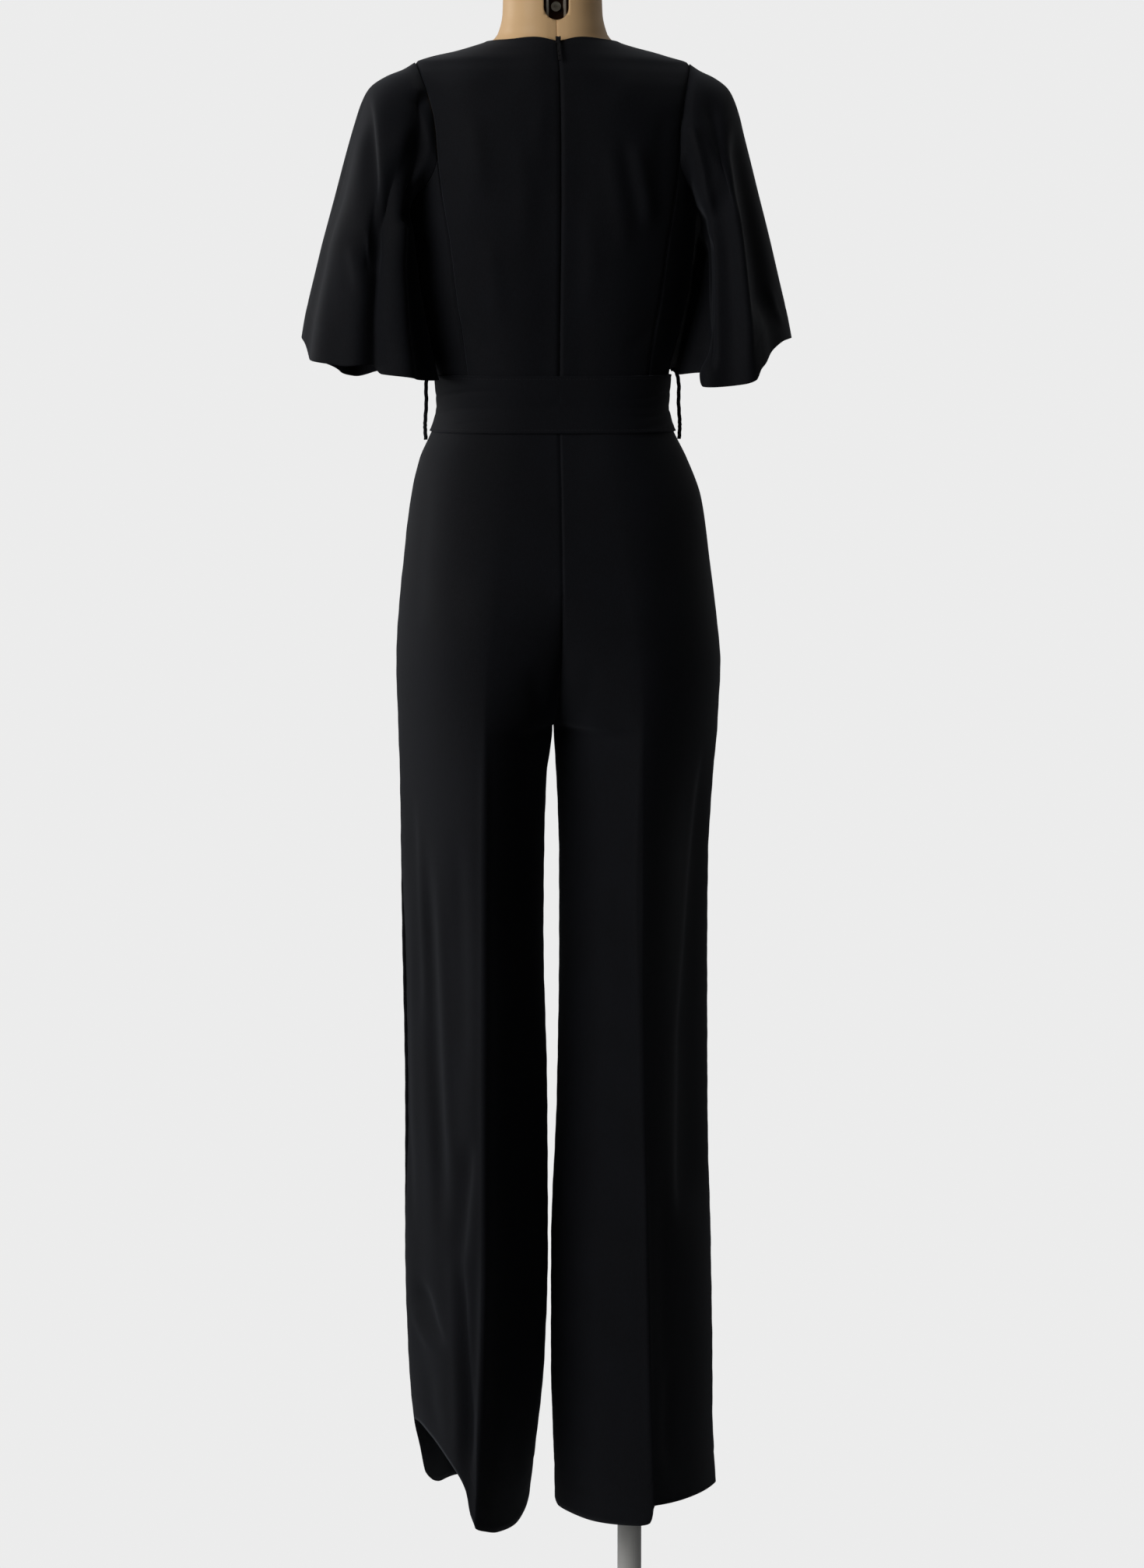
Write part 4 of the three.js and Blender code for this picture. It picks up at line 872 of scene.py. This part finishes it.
# The seam allowance: the ring moved in under the bodice's edge.
def tuckedRing(ring, v):
    inward = ring * np.array([1, 1, 0])
    inward /= np.linalg.norm(inward, axis=-1, keepdims=True)
    start, ease = v["tuckTop"]
    down = smooth((ring[:, 2:] - start) / ease)
    return ring - v["tuck"] * inward - 0.7 * v["tuck"] * down * np.array([0, 0, 1])


def makeSleeve(name, v, seed):
    side = 1 if name == "left" else -1
    rings = [armholeRing(side, v) + np.array([side * v["clear"], 0, 0])]
    rings += [sleeveRing(i, name, v) for i in range(len(sleeveRows["outX"]))]
    points = refineRows(rings, v["perRing"])
    points = np.concatenate([tuckedRing(points[0], v)[None], points])
    joined = np.concatenate([points[:, -2:], points, points[:, :2]], 1)
    middle = points.mean(axis=(0, 1))
    outer, normal = finishSurface(
        joined, lambda p: p - middle, sleeveCreases[name], ("first",), ("last",), v["ripple"], seed, True)
    outer, normal = outer[:, 2:-2], normal[:, 2:-2]
    piece = shellMesh(f"sleeve{name.title()}", outer, normal, cloth["thick"], crepe, round=True)
    putOn(piece, f"sleeve_{name}")
makeSleeve("left", sleeves, 0.7)
makeSleeve("right", sleeves, 3.1)
print("sleeves made")


belt = {
    "gap": 1.1, "thick": 1.8, "oval": 1.3, "lapGap": 0.5, "lapShare": 0.03, "lapFrom": 0.9, "lapEase": 0.05,
    "rows": 52, "columns": 360, "flat": (0.72, 0.064), "crown": 0.5,
    "stitched": (0.055, 0.945), "stitchDepth": 0.3, "stitchHalf": 0.018,
}


# A point off the waist's cloth by a distance, at a share of the way round from the front's middle.
def waistPoint(turn, height, out):
    turn = np.mod(turn, 1)
    point = figurePoint(turn, acrossOf(turn), height)
    away = np.stack([point[..., 0] / belt["oval"], point[..., 1] * belt["oval"], 0 * turn], -1)
    away /= np.linalg.norm(away, axis=-1, keepdims=True)
    return point + away * np.asarray(out)[..., None]


# Soft horizontal creases of the belt where it bends round the sides: turn, height, length, half, depth.
beltCreases = [
    *[(0.30, 1290, 0.045, 2.2, 0.9), (0.285, 1272, 0.05, 2.4, 0.8), (0.31, 1260, 0.04, 2, 0.7)],
    *[(0.70, 1288, 0.045, 2.4, 1.0), (0.715, 1270, 0.05, 2.2, 0.9), (0.69, 1258, 0.04, 2, 0.6)],
    *[(0.20, 1284, 0.05, 2.4, 0.8), (0.80, 1280, 0.05, 2.4, 0.8), (0.44, 1280, 0.12, 5, 0.35)],
]


def beltSurface(turn, up, v):
    height = mix(levels["beltBottom"], levels["beltTop"], up)
    lap = smooth((turn - v["lapFrom"]) / v["lapEase"]) * (v["thick"] + v["lapGap"])
    sunk = 0
    for at, level, length, half, depth in beltCreases:
        sway = level + 3 * np.sin((turn - at) * 40)
        sunk = sunk + depth * np.exp(-(((turn - at) / length) ** 2) - ((height - sway) / half) ** 2)
    for edge in v["stitched"]:
        sunk = sunk + v["stitchDepth"] * np.exp(-(((up - edge) / v["stitchHalf"]) ** 2))
    crown = v["crown"] * np.sin(up * math.pi) ** 0.6 - 0.2
    return waistPoint(turn, height, v["gap"] + v["thick"] + lap + crown - sunk)


def makeBelt(v):
    turn = mix(-v["lapShare"], 1 + v["lapShare"], np.linspace(0, 1, v["columns"]))[None, :]
    up = np.linspace(0, 1, v["rows"])[:, None]
    points = beltSurface(turn + 0 * up, up + 0 * turn, v)
    normal = gridNormals(points, lambda p: np.array([p[0], p[1], 0]))
    piece = shellMesh("beltBand", points, normal, v["thick"] * 0.9, crepe)
    putOn(piece, "belt")
makeBelt(belt)


# Small rounded bars set along guide lines: stitches lie along them, zip teeth across them.
def makeBarTree():
    tree = bpy.data.node_groups.new("bars", "GeometryNodeTree")
    addSockets(
        tree, "INPUT",
        ("guide", "Geometry"), ("spacing", "Float", 0.003), ("half sizes", "Vector", (0.0003, 0.0003, 0.001)),
        ("unevenness", "Float", 0.1), ("seed", "Int", 1), ("material", "Material"))
    addSockets(tree, "OUTPUT", ("bars", "Geometry"))

    def output(kind, inputs=None, which=0, **settings):
        return addNode(tree, kind, inputs, **settings).outputs[which]

    inside = addNode(tree, "NodeGroupInput").outputs
    line = output("GeometryNodeMeshToCurve", {"Mesh": inside["guide"]})
    even = output("GeometryNodeResampleCurve", {"Curve": line, "Length": inside["spacing"]}, mode="LENGTH")
    ball = output("GeometryNodeMeshUVSphere", {"Segments": 6, "Rings": 5, "Radius": 1})
    along = output("GeometryNodeInputTangent")
    turn = output("FunctionNodeAlignRotationToVector", {"Vector": along}, axis="Z")
    low = output("ShaderNodeMath", {0: 1, 1: inside["unevenness"]}, operation="SUBTRACT")
    high = output("ShaderNodeMath", {0: 1, 1: inside["unevenness"]}, operation="ADD")
    chance = output("FunctionNodeRandomValue", {2: low, 3: high, "Seed": inside["seed"]}, 1, data_type="FLOAT")
    size = output("ShaderNodeVectorMath", {0: inside["half sizes"], "Scale": chance}, operation="SCALE")
    spread = output(
        "GeometryNodeInstanceOnPoints", {"Points": even, "Instance": ball, "Rotation": turn, "Scale": size})
    real = output("GeometryNodeRealizeInstances", {0: spread})
    bars = output("GeometryNodeSetMaterial", {"Geometry": real, "Material": inside["material"]})
    addNode(tree, "NodeGroupOutput", {"bars": bars})
    return tree
barTree = makeBarTree()


def makeBars(name, lines, v, material):
    points = np.concatenate(lines) / 1000
    starts = np.cumsum([0] + [len(line) for line in lines])
    edges = [(i, i + 1) for low, high in zip(starts, starts[1:]) for i in range(low, high - 1)]
    mesh = bpy.data.meshes.new(name + "Guide")
    mesh.from_pydata(points.tolist(), edges, [])
    guide = addThing(name + "Guide", mesh)
    modifier = guide.modifiers.new("bars", "NODES")
    modifier.node_group = barTree
    values = {
        "spacing": v["spacing"] / 1000, "half sizes": [size / 1000 for size in v["half"]],
        "unevenness": v["unevenness"], "seed": v["seed"], "material": material,
    }
    for socket in barTree.interface.items_tree:
        if socket.in_out == "INPUT" and socket.name in values:
            modifier[socket.identifier] = values[socket.name]
    bpy.context.view_layer.update()
    baked = bpy.data.meshes.new_from_object(guide.evaluated_get(bpy.context.evaluated_depsgraph_get()))
    baked.name = name
    baked.polygons.foreach_set("use_smooth", np.ones(len(baked.polygons), bool))
    bpy.data.objects.remove(guide)
    piece = addThing(name, baked)
    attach(piece, body)
    print(name, len(baked.polygons), "faces")


threadLook = {
    **crepeLook, "dark": (0.012, 0.012, 0.014, 1), "light": (0.03, 0.03, 0.034, 1), "pebble size": 0.3,
}
thread = makeCloth("thread", threadLook)
stitching = {
    "spacing": 3.3, "half": (0.22, 0.22, 1.2), "unevenness": 0.12, "seed": 4, "points": 900, "ends": (0.004, 0.996),
}
turns = mix(-belt["lapShare"], 1 + belt["lapShare"], np.linspace(*stitching["ends"], stitching["points"]))
stitchLines = [beltSurface(turns, edge + 0 * turns, belt) for edge in belt["stitched"]]
makeBars("beltStitches", stitchLines, stitching, thread)

# The coil of the hidden zip lies on the inner side of its tape.
coil = {
    "spacing": 1.3, "half": (1.7, 0.45, 0.42), "unevenness": 0.0, "seed": 1,
    "bottom": 1180, "top": 1622, "points": 120, "under": 3.7,
}


def centreLine(v):
    height = np.linspace(v["bottom"], v["top"], v["points"])
    middle = np.full_like(height, 2.0)
    upper, lower = bodyPoint(middle, height, "back", 1), legPoint(middle, height, "left", "back")
    line = np.where((height >= levels["waist"])[:, None], upper, lower)
    return line * np.array([0, 1, 1]) - np.array([0, v["under"], 0])


makeBars("zipCoil", [centreLine(coil)], coil, tapeCloth)


# A closed solid from rings of points, welded, capped at both ends and shaded smooth.
def tubeMesh(name, points, material):
    rows, columns = points.shape[:2]
    index = np.arange(rows * columns).reshape(rows, columns)
    index = np.concatenate([index, index[:, :1]], 1)
    faces = np.stack([index[:-1, :-1], index[:-1, 1:], index[1:, 1:], index[1:, :-1]], -1)
    faces = faces.reshape(-1, 4).tolist()
    faces += [list(range(columns))[::-1], list(range((rows - 1) * columns, rows * columns))]
    mesh = bpy.data.meshes.new(name)
    mesh.from_pydata((points.reshape(-1, 3) / 1000).tolist(), [], faces)
    work = bmesh.new()
    work.from_mesh(mesh)
    bmesh.ops.remove_doubles(work, verts=work.verts, dist=1e-6)
    bmesh.ops.recalc_face_normals(work, faces=work.faces)
    work.to_mesh(mesh)
    work.free()
    for face in mesh.polygons:
        face.use_smooth = True
    mesh.materials.append(material)
    return addThing(name, mesh)


# The loops' route is a share of the stand-off and a height.
loops = {
    "radius": 1.9, "standOff": 9, "top": 1313, "bottom": 1243, "sink": 0.4, "sides": 12, "perSpan": 12, "ribs": 0.1,
    "route": [(0.55, 1311), (1, 1298), (1.15, 1280), (0.95, 1262), (0.6, 1254)],
}


# Rings round a route, slightly ribbed like a twisted cord.
def cordRings(route, v):
    path = refineRows(np.array(route)[:, None, :], v["perSpan"])[:, 0]
    tangent = np.gradient(path, axis=0)
    tangent /= np.linalg.norm(tangent, axis=-1, keepdims=True)
    aside = np.cross(tangent, np.array([0.0, 1.0, 0.0]))
    aside /= np.linalg.norm(aside, axis=-1, keepdims=True)
    across = np.cross(tangent, aside)
    angle = np.linspace(0, 2 * math.pi, v["sides"], endpoint=False)
    swell = 1 + v["ribs"] * np.sin(3 * angle[None, :] + np.arange(len(path))[:, None] * 0.9)
    ring = aside[:, None] * np.cos(angle)[None, :, None] + across[:, None] * np.sin(angle)[None, :, None]
    return path[:, None] + ring * (v["radius"] * swell)[..., None]


def makeLoop(word, side, v):
    turn = np.array([0.25 if side > 0 else 0.75])

    def sideX(height, out):
        return float(waistPoint(turn, np.array([float(height)]), np.array([out]))[0, 0])

    def onCloth(height):
        return sideX(height, v["sink"]) + side * v["radius"]

    def offBelt(share, height):
        onBelt = sideX(min(height, levels["beltTop"]), belt["gap"] + belt["thick"])
        return onBelt + side * v["standOff"] * share

    route = [(onCloth(v["top"]), 0, v["top"])]
    route += [(offBelt(share, height), 0, height) for share, height in v["route"]]
    route += [(onCloth(v["bottom"]), 0, v["bottom"])]
    piece = tubeMesh(f"beltLoop{word}", cordRings(route, v), crepe)
    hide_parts(f"belt_loop_{word.lower()}")
    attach(piece, body)


makeLoop("Left", 1, loops)
makeLoop("Right", -1, loops)
print("belt and loops made")


form = {
    "side": 1.4, "middle": 2.4, "cloth": 1.5, "bottom": 1093, "top": 1700, "columns": 150, "rows": 200,
    "shoulder": 2, "shoulderFrom": (1580, 20), "shoulderTo": (1652, 12), "shoulderSide": 0.35,
}
slotHole = {"half": 12.5, "bottom": 1655.5, "top": 1689, "depth": 9, "steps": 16}


# The form lies under the cloth: a little at the sides, more towards the middle and under the shoulder.
def formGrid(v):
    height = np.linspace(v["bottom"], v["top"], v["rows"])[:, None]
    turn = np.linspace(0, 1, v["columns"], endpoint=False)[None, :]
    height, turn = height + 0 * turn, turn + 0 * height
    across = acrossOf(turn)
    spot, step = np.clip(across, 0.004, 1.996), 0.004
    around = figurePoint(turn, spot + step, height) - figurePoint(turn, spot - step, height)
    upward = figurePoint(turn, spot, height + 0.5) - figurePoint(turn, spot, height - 0.5)
    normal = np.cross(around, upward)
    normal /= np.linalg.norm(normal, axis=-1, keepdims=True)
    point = figurePoint(turn, across, height)
    normal *= np.sign(normal[..., :1] * point[..., :1] + normal[..., 1:2] * point[..., 1:2])
    (low, lowEase), (high, highEase) = v["shoulderFrom"], v["shoulderTo"]
    shoulder = smooth((height - low) / lowEase) * smooth((high - height) / highEase)
    shoulder *= smooth(across / v["shoulderSide"])
    gap = v["cloth"] + v["side"] + v["middle"] * (across / 2) ** 2 + v["shoulder"] * shoulder
    point = point - normal * gap[..., None]
    point[-1, :, 2] = v["top"]
    return point


def makeForm(v, material):
    points = formGrid(v)
    piece = tubeMesh("formTorso", points, material)
    cutSlot(piece, points, slotHole)
    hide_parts("form_torso")
    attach(piece, body)


# Cuts an upright rounded slot into the back of the neck.
def cutSlot(piece, points, v):
    middle = (v["bottom"] + v["top"]) / 2
    back = points[np.abs(points[:, 0, 2] - middle).argmin(), :, 1].max()
    outline = []
    for centre, first in ((v["top"] - v["half"], 0), (v["bottom"] + v["half"], 180)):
        for step in range(v["steps"] + 1):
            angle = math.radians(first + 180 * step / v["steps"])
            outline.append((v["half"] * math.cos(angle), centre + v["half"] * math.sin(angle)))
    work = bmesh.new()
    near = [work.verts.new((x / 1000, (back - v["depth"]) / 1000, z / 1000)) for x, z in outline]
    far = [work.verts.new((x / 1000, (back + 20) / 1000, z / 1000)) for x, z in outline]
    work.faces.new(near)
    work.faces.new(far[::-1])
    for i in range(len(outline)):
        j = (i + 1) % len(outline)
        work.faces.new((near[j], near[i], far[i], far[j]))
    bmesh.ops.recalc_face_normals(work, faces=work.faces)
    mesh = bpy.data.meshes.new("slotCut")
    work.to_mesh(mesh)
    work.free()
    cutter = addThing("slotCut", mesh)
    modifier = piece.modifiers.new("slot", "BOOLEAN")
    modifier.operation = "DIFFERENCE"
    modifier.solver = "EXACT"
    modifier.object = cutter
    evaluated = piece.evaluated_get(bpy.context.evaluated_depsgraph_get())
    cut = bpy.data.meshes.new_from_object(evaluated)
    piece.modifiers.clear()
    piece.data = cut
    bpy.data.objects.remove(cutter)
    for face in cut.polygons:
        face.use_smooth = abs(face.normal.y) < 0.999 or face.area > 1e-3


# Hard surfaces: a broad noise blends two colours and varies the roughness, and a fine one lifts the surface.
def makeWorn(name, look):
    material, tree, shader = newMaterial(name)
    place = addNode(tree, "ShaderNodeTexCoord").outputs["Object"]
    mapping = addNode(tree, "ShaderNodeMapping", {"Vector": place, "Scale": look.get("stretch", (1, 1, 1))})

    def noise(scale, detail):
        inputs = {"Vector": mapping.outputs[0], "Scale": scale, "Detail": detail}
        return addNode(tree, "ShaderNodeTexNoise", inputs).outputs["Fac"]

    wear = noise(look["scale"], look["detail"])
    fine = noise(look["fine"], 2) if "fine" in look else wear
    colours = {"Factor": wear, 6: look["dark"], 7: look["light"]}
    lift = {"Strength": look["bump"], "Distance": look["lift"], "Height": fine}
    feed(tree, shader, {
        "Base Color": addNode(tree, "ShaderNodeMix", colours, data_type="RGBA").outputs[2],
        "Roughness": roughRange(tree, wear, *look["rough"]),
        "Normal": addNode(tree, "ShaderNodeBump", lift).outputs[0],
        **look["shader"],
    })
    return material


def roughRange(tree, value, low, high):
    return addNode(tree, "ShaderNodeMapRange", {"Value": value, "To Min": low, "To Max": high}).outputs[0]


# A brown well with a painted highlight: a bright strip on either side, placed by the distance from the middle,
# stands in for the metal's shine.
def makeFittingMetal(look):
    material, tree, shader = newMaterial("fittingMetal")
    place = addNode(tree, "ShaderNodeTexCoord").outputs["Object"]
    split = addNode(tree, "ShaderNodeSeparateXYZ", {0: place})
    away = addNode(tree, "ShaderNodeMath", {0: split.outputs["X"]}, operation="ABSOLUTE")
    # Painted highlight: the bright strip goes where the distance from the middle is close to a set value.
    strip = addNode(
        tree, "ShaderNodeMath", {0: away.outputs[0], 1: look["at"], 2: look["half"]}, operation="COMPARE")
    colours = {"Factor": strip.outputs[0], 6: look["well"], 7: look["strip"]}
    worn = addNode(tree, "ShaderNodeTexNoise", {"Vector": place, "Scale": 500})
    feed(tree, shader, {
        "Base Color": addNode(tree, "ShaderNodeMix", colours, data_type="RGBA").outputs[2],
        "Roughness": roughRange(tree, worn.outputs["Fac"], *look["rough"]),
        "Metallic": look["metallic"],
    })
    return material


skinLook = {
    "dark": (0.90, 0.585, 0.30, 1), "light": (0.94, 0.63, 0.34, 1), "scale": 18, "detail": 4, "fine": 900,
    "rough": (0.45, 0.58), "bump": 0.08, "lift": 0.0002,
    "shader": {"Specular IOR Level": 0.25, "Coat Weight": 0.05},
}
metalLook = {"detail": 5, "bump": 0.15, "lift": 0.0001}
zipLook = {
    **metalLook, "dark": (0.02, 0.02, 0.022, 1), "light": (0.07, 0.07, 0.075, 1), "scale": 300,
    "rough": (0.20, 0.40), "shader": {"Metallic": 0.6},
}
steelLook = {
    **metalLook, "dark": (0.62, 0.56, 0.44, 1), "light": (0.86, 0.82, 0.72, 1), "scale": 400,
    "stretch": (0.2, 1, 1), "rough": (0.22, 0.42), "shader": {"Metallic": 1.0},
}
enamelLook = {
    **metalLook, "dark": (0.74, 0.74, 0.73, 1), "light": (0.82, 0.82, 0.81, 1), "scale": 60,
    "rough": (0.32, 0.52), "shader": {"Metallic": 0.0},
}
# The bright strip colour is a painted highlight, not a colour of the fitting's own.
fittingLook = {
    "well": (0.035, 0.016, 0.008, 1), "strip": (0.80, 0.76, 0.68, 1), "at": 0.0086, "half": 0.0012,
    "rough": (0.24, 0.44), "metallic": 0.85,
}
makeForm(form, makeWorn("formPlastic", skinLook))
print("form made")
zipMetal, steel = makeWorn("zipEnamel", zipLook), makeWorn("fittingSteel", steelLook)
paleEnamel, fittingMetal = makeWorn("paleEnamel", enamelLook), makeFittingMetal(fittingLook)
for node, material in (
    ("zip_tape", tapeCloth), ("zip_slider", zipMetal), ("zip_pull", zipMetal), ("neck_fitting", fittingMetal),
    ("neck_screw", steel), ("stand_pole", paleEnamel), ("stand_base", paleEnamel),
):
    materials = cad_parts[node].data.materials
    materials.clear()
    materials.append(material)
print("metals made")


studio = {
    "seen": 0.84, "floor": 0.2, "floorHalf": 12, "front": 0.003, "behind": 0.36, "turn": (0.05, -0.35),
    "aim": (0, 0, 1.0),
    "lights": {
        "soft": {
            "azimuth": 50, "height": 2.3, "away": 3.6, "size": 2.5, "energy": 66, "colour": (1, 0.99, 0.97),
        },
        "side": {
            "azimuth": 118, "height": 1.9, "away": 3.0, "size": 1.4, "energy": 22, "colour": (1, 0.99, 0.97),
        },
        "neck": {
            "azimuth": -38, "height": 1.9, "away": 2.2, "size": 0.3, "energy": 26, "colour": (1, 0.95, 0.86),
            "cone": 5.5, "aim": (0, 0.04, 1.71),
        },
        "fill": {
            "azimuth": -35, "height": 1.6, "away": 4.0, "size": 1.5, "energy": 0.8, "colour": (0.95, 0.97, 1),
        },
    },
}


# Shows one shader to the camera and another to the rest of the scene.
def shownApart(tree, cast, seen):
    ray = addNode(tree, "ShaderNodeLightPath").outputs["Is Camera Ray"]
    return addNode(tree, "ShaderNodeMixShader", {"Fac": ray, 1: cast, 2: seen}).outputs[0]


def makeFloor(v):
    half, pale = v["floorHalf"], (v["seen"], v["seen"], v["seen"], 1)
    mesh = bpy.data.meshes.new("floor")
    mesh.from_pydata([(-half, -half, 0), (half, -half, 0), (half, half, 0), (-half, half, 0)], [], [(0, 1, 2, 3)])
    floor = addThing("floor", mesh)
    floor.location.z = -0.0005
    material, tree, shader = newMaterial("floorPale")
    feed(tree, shader, {
        "Base Color": (v["floor"], v["floor"], v["floor"], 1), "Roughness": 1, "Specular IOR Level": 0,
    })
    glow = addNode(tree, "ShaderNodeEmission", {"Color": pale})
    shown = shownApart(tree, shader.outputs[0], glow.outputs[0])
    feed(tree, tree.nodes["Material Output"], {"Surface": shown})
    mesh.materials.append(material)


def softLight(name, v, aim):
    light = bpy.data.lights.new(name, "SPOT" if "cone" in v else "AREA")
    if "cone" in v:
        light.spot_size = math.radians(v["cone"])
        light.spot_blend = 1
        light.shadow_soft_size = v["size"] / 2
    else:
        light.shape = "DISK"
        light.size = v["size"]
    light.energy = v["energy"]
    light.color = v["colour"]
    thing = addThing(name, light)
    turn = math.radians(v["azimuth"])
    thing.location = (v["away"] * math.sin(turn), v["away"] * math.cos(turn), v["height"])
    thing.rotation_euler = (Vector(v.get("aim", aim)) - thing.location).to_track_quat("-Z", "Y").to_euler()


# The backdrop is bright behind the piece, seen from the camera, and casts light only from there.
def makeWorld(v):
    world = bpy.data.worlds.new("studio")
    bpy.context.scene.world = world
    world.use_nodes = True
    tree = world.node_tree
    tree.nodes.clear()
    towards = addNode(tree, "ShaderNodeTexCoord").outputs["Generated"]
    split = addNode(tree, "ShaderNodeSeparateXYZ", {0: towards})
    start, end = v["turn"]
    fade = addNode(tree, "ShaderNodeMapRange", {
        "Value": split.outputs["Y"], "From Min": start, "From Max": end,
        "To Min": v["front"], "To Max": v["behind"],
    }, interpolation_type="SMOOTHSTEP")
    seen = addNode(tree, "ShaderNodeBackground", {"Color": (v["seen"], v["seen"], v["seen"], 1)})
    cast = addNode(tree, "ShaderNodeBackground", {"Color": (1, 1, 1, 1), "Strength": fade.outputs[0]})
    shown = shownApart(tree, cast.outputs[0], seen.outputs[0])
    addNode(tree, "ShaderNodeOutputWorld", {"Surface": shown})
makeFloor(studio)
for lightName, look in studio["lights"].items():
    softLight(lightName, look, studio["aim"])
makeWorld(studio)
bpy.context.scene.view_settings.view_transform = "Standard"
print("studio set")
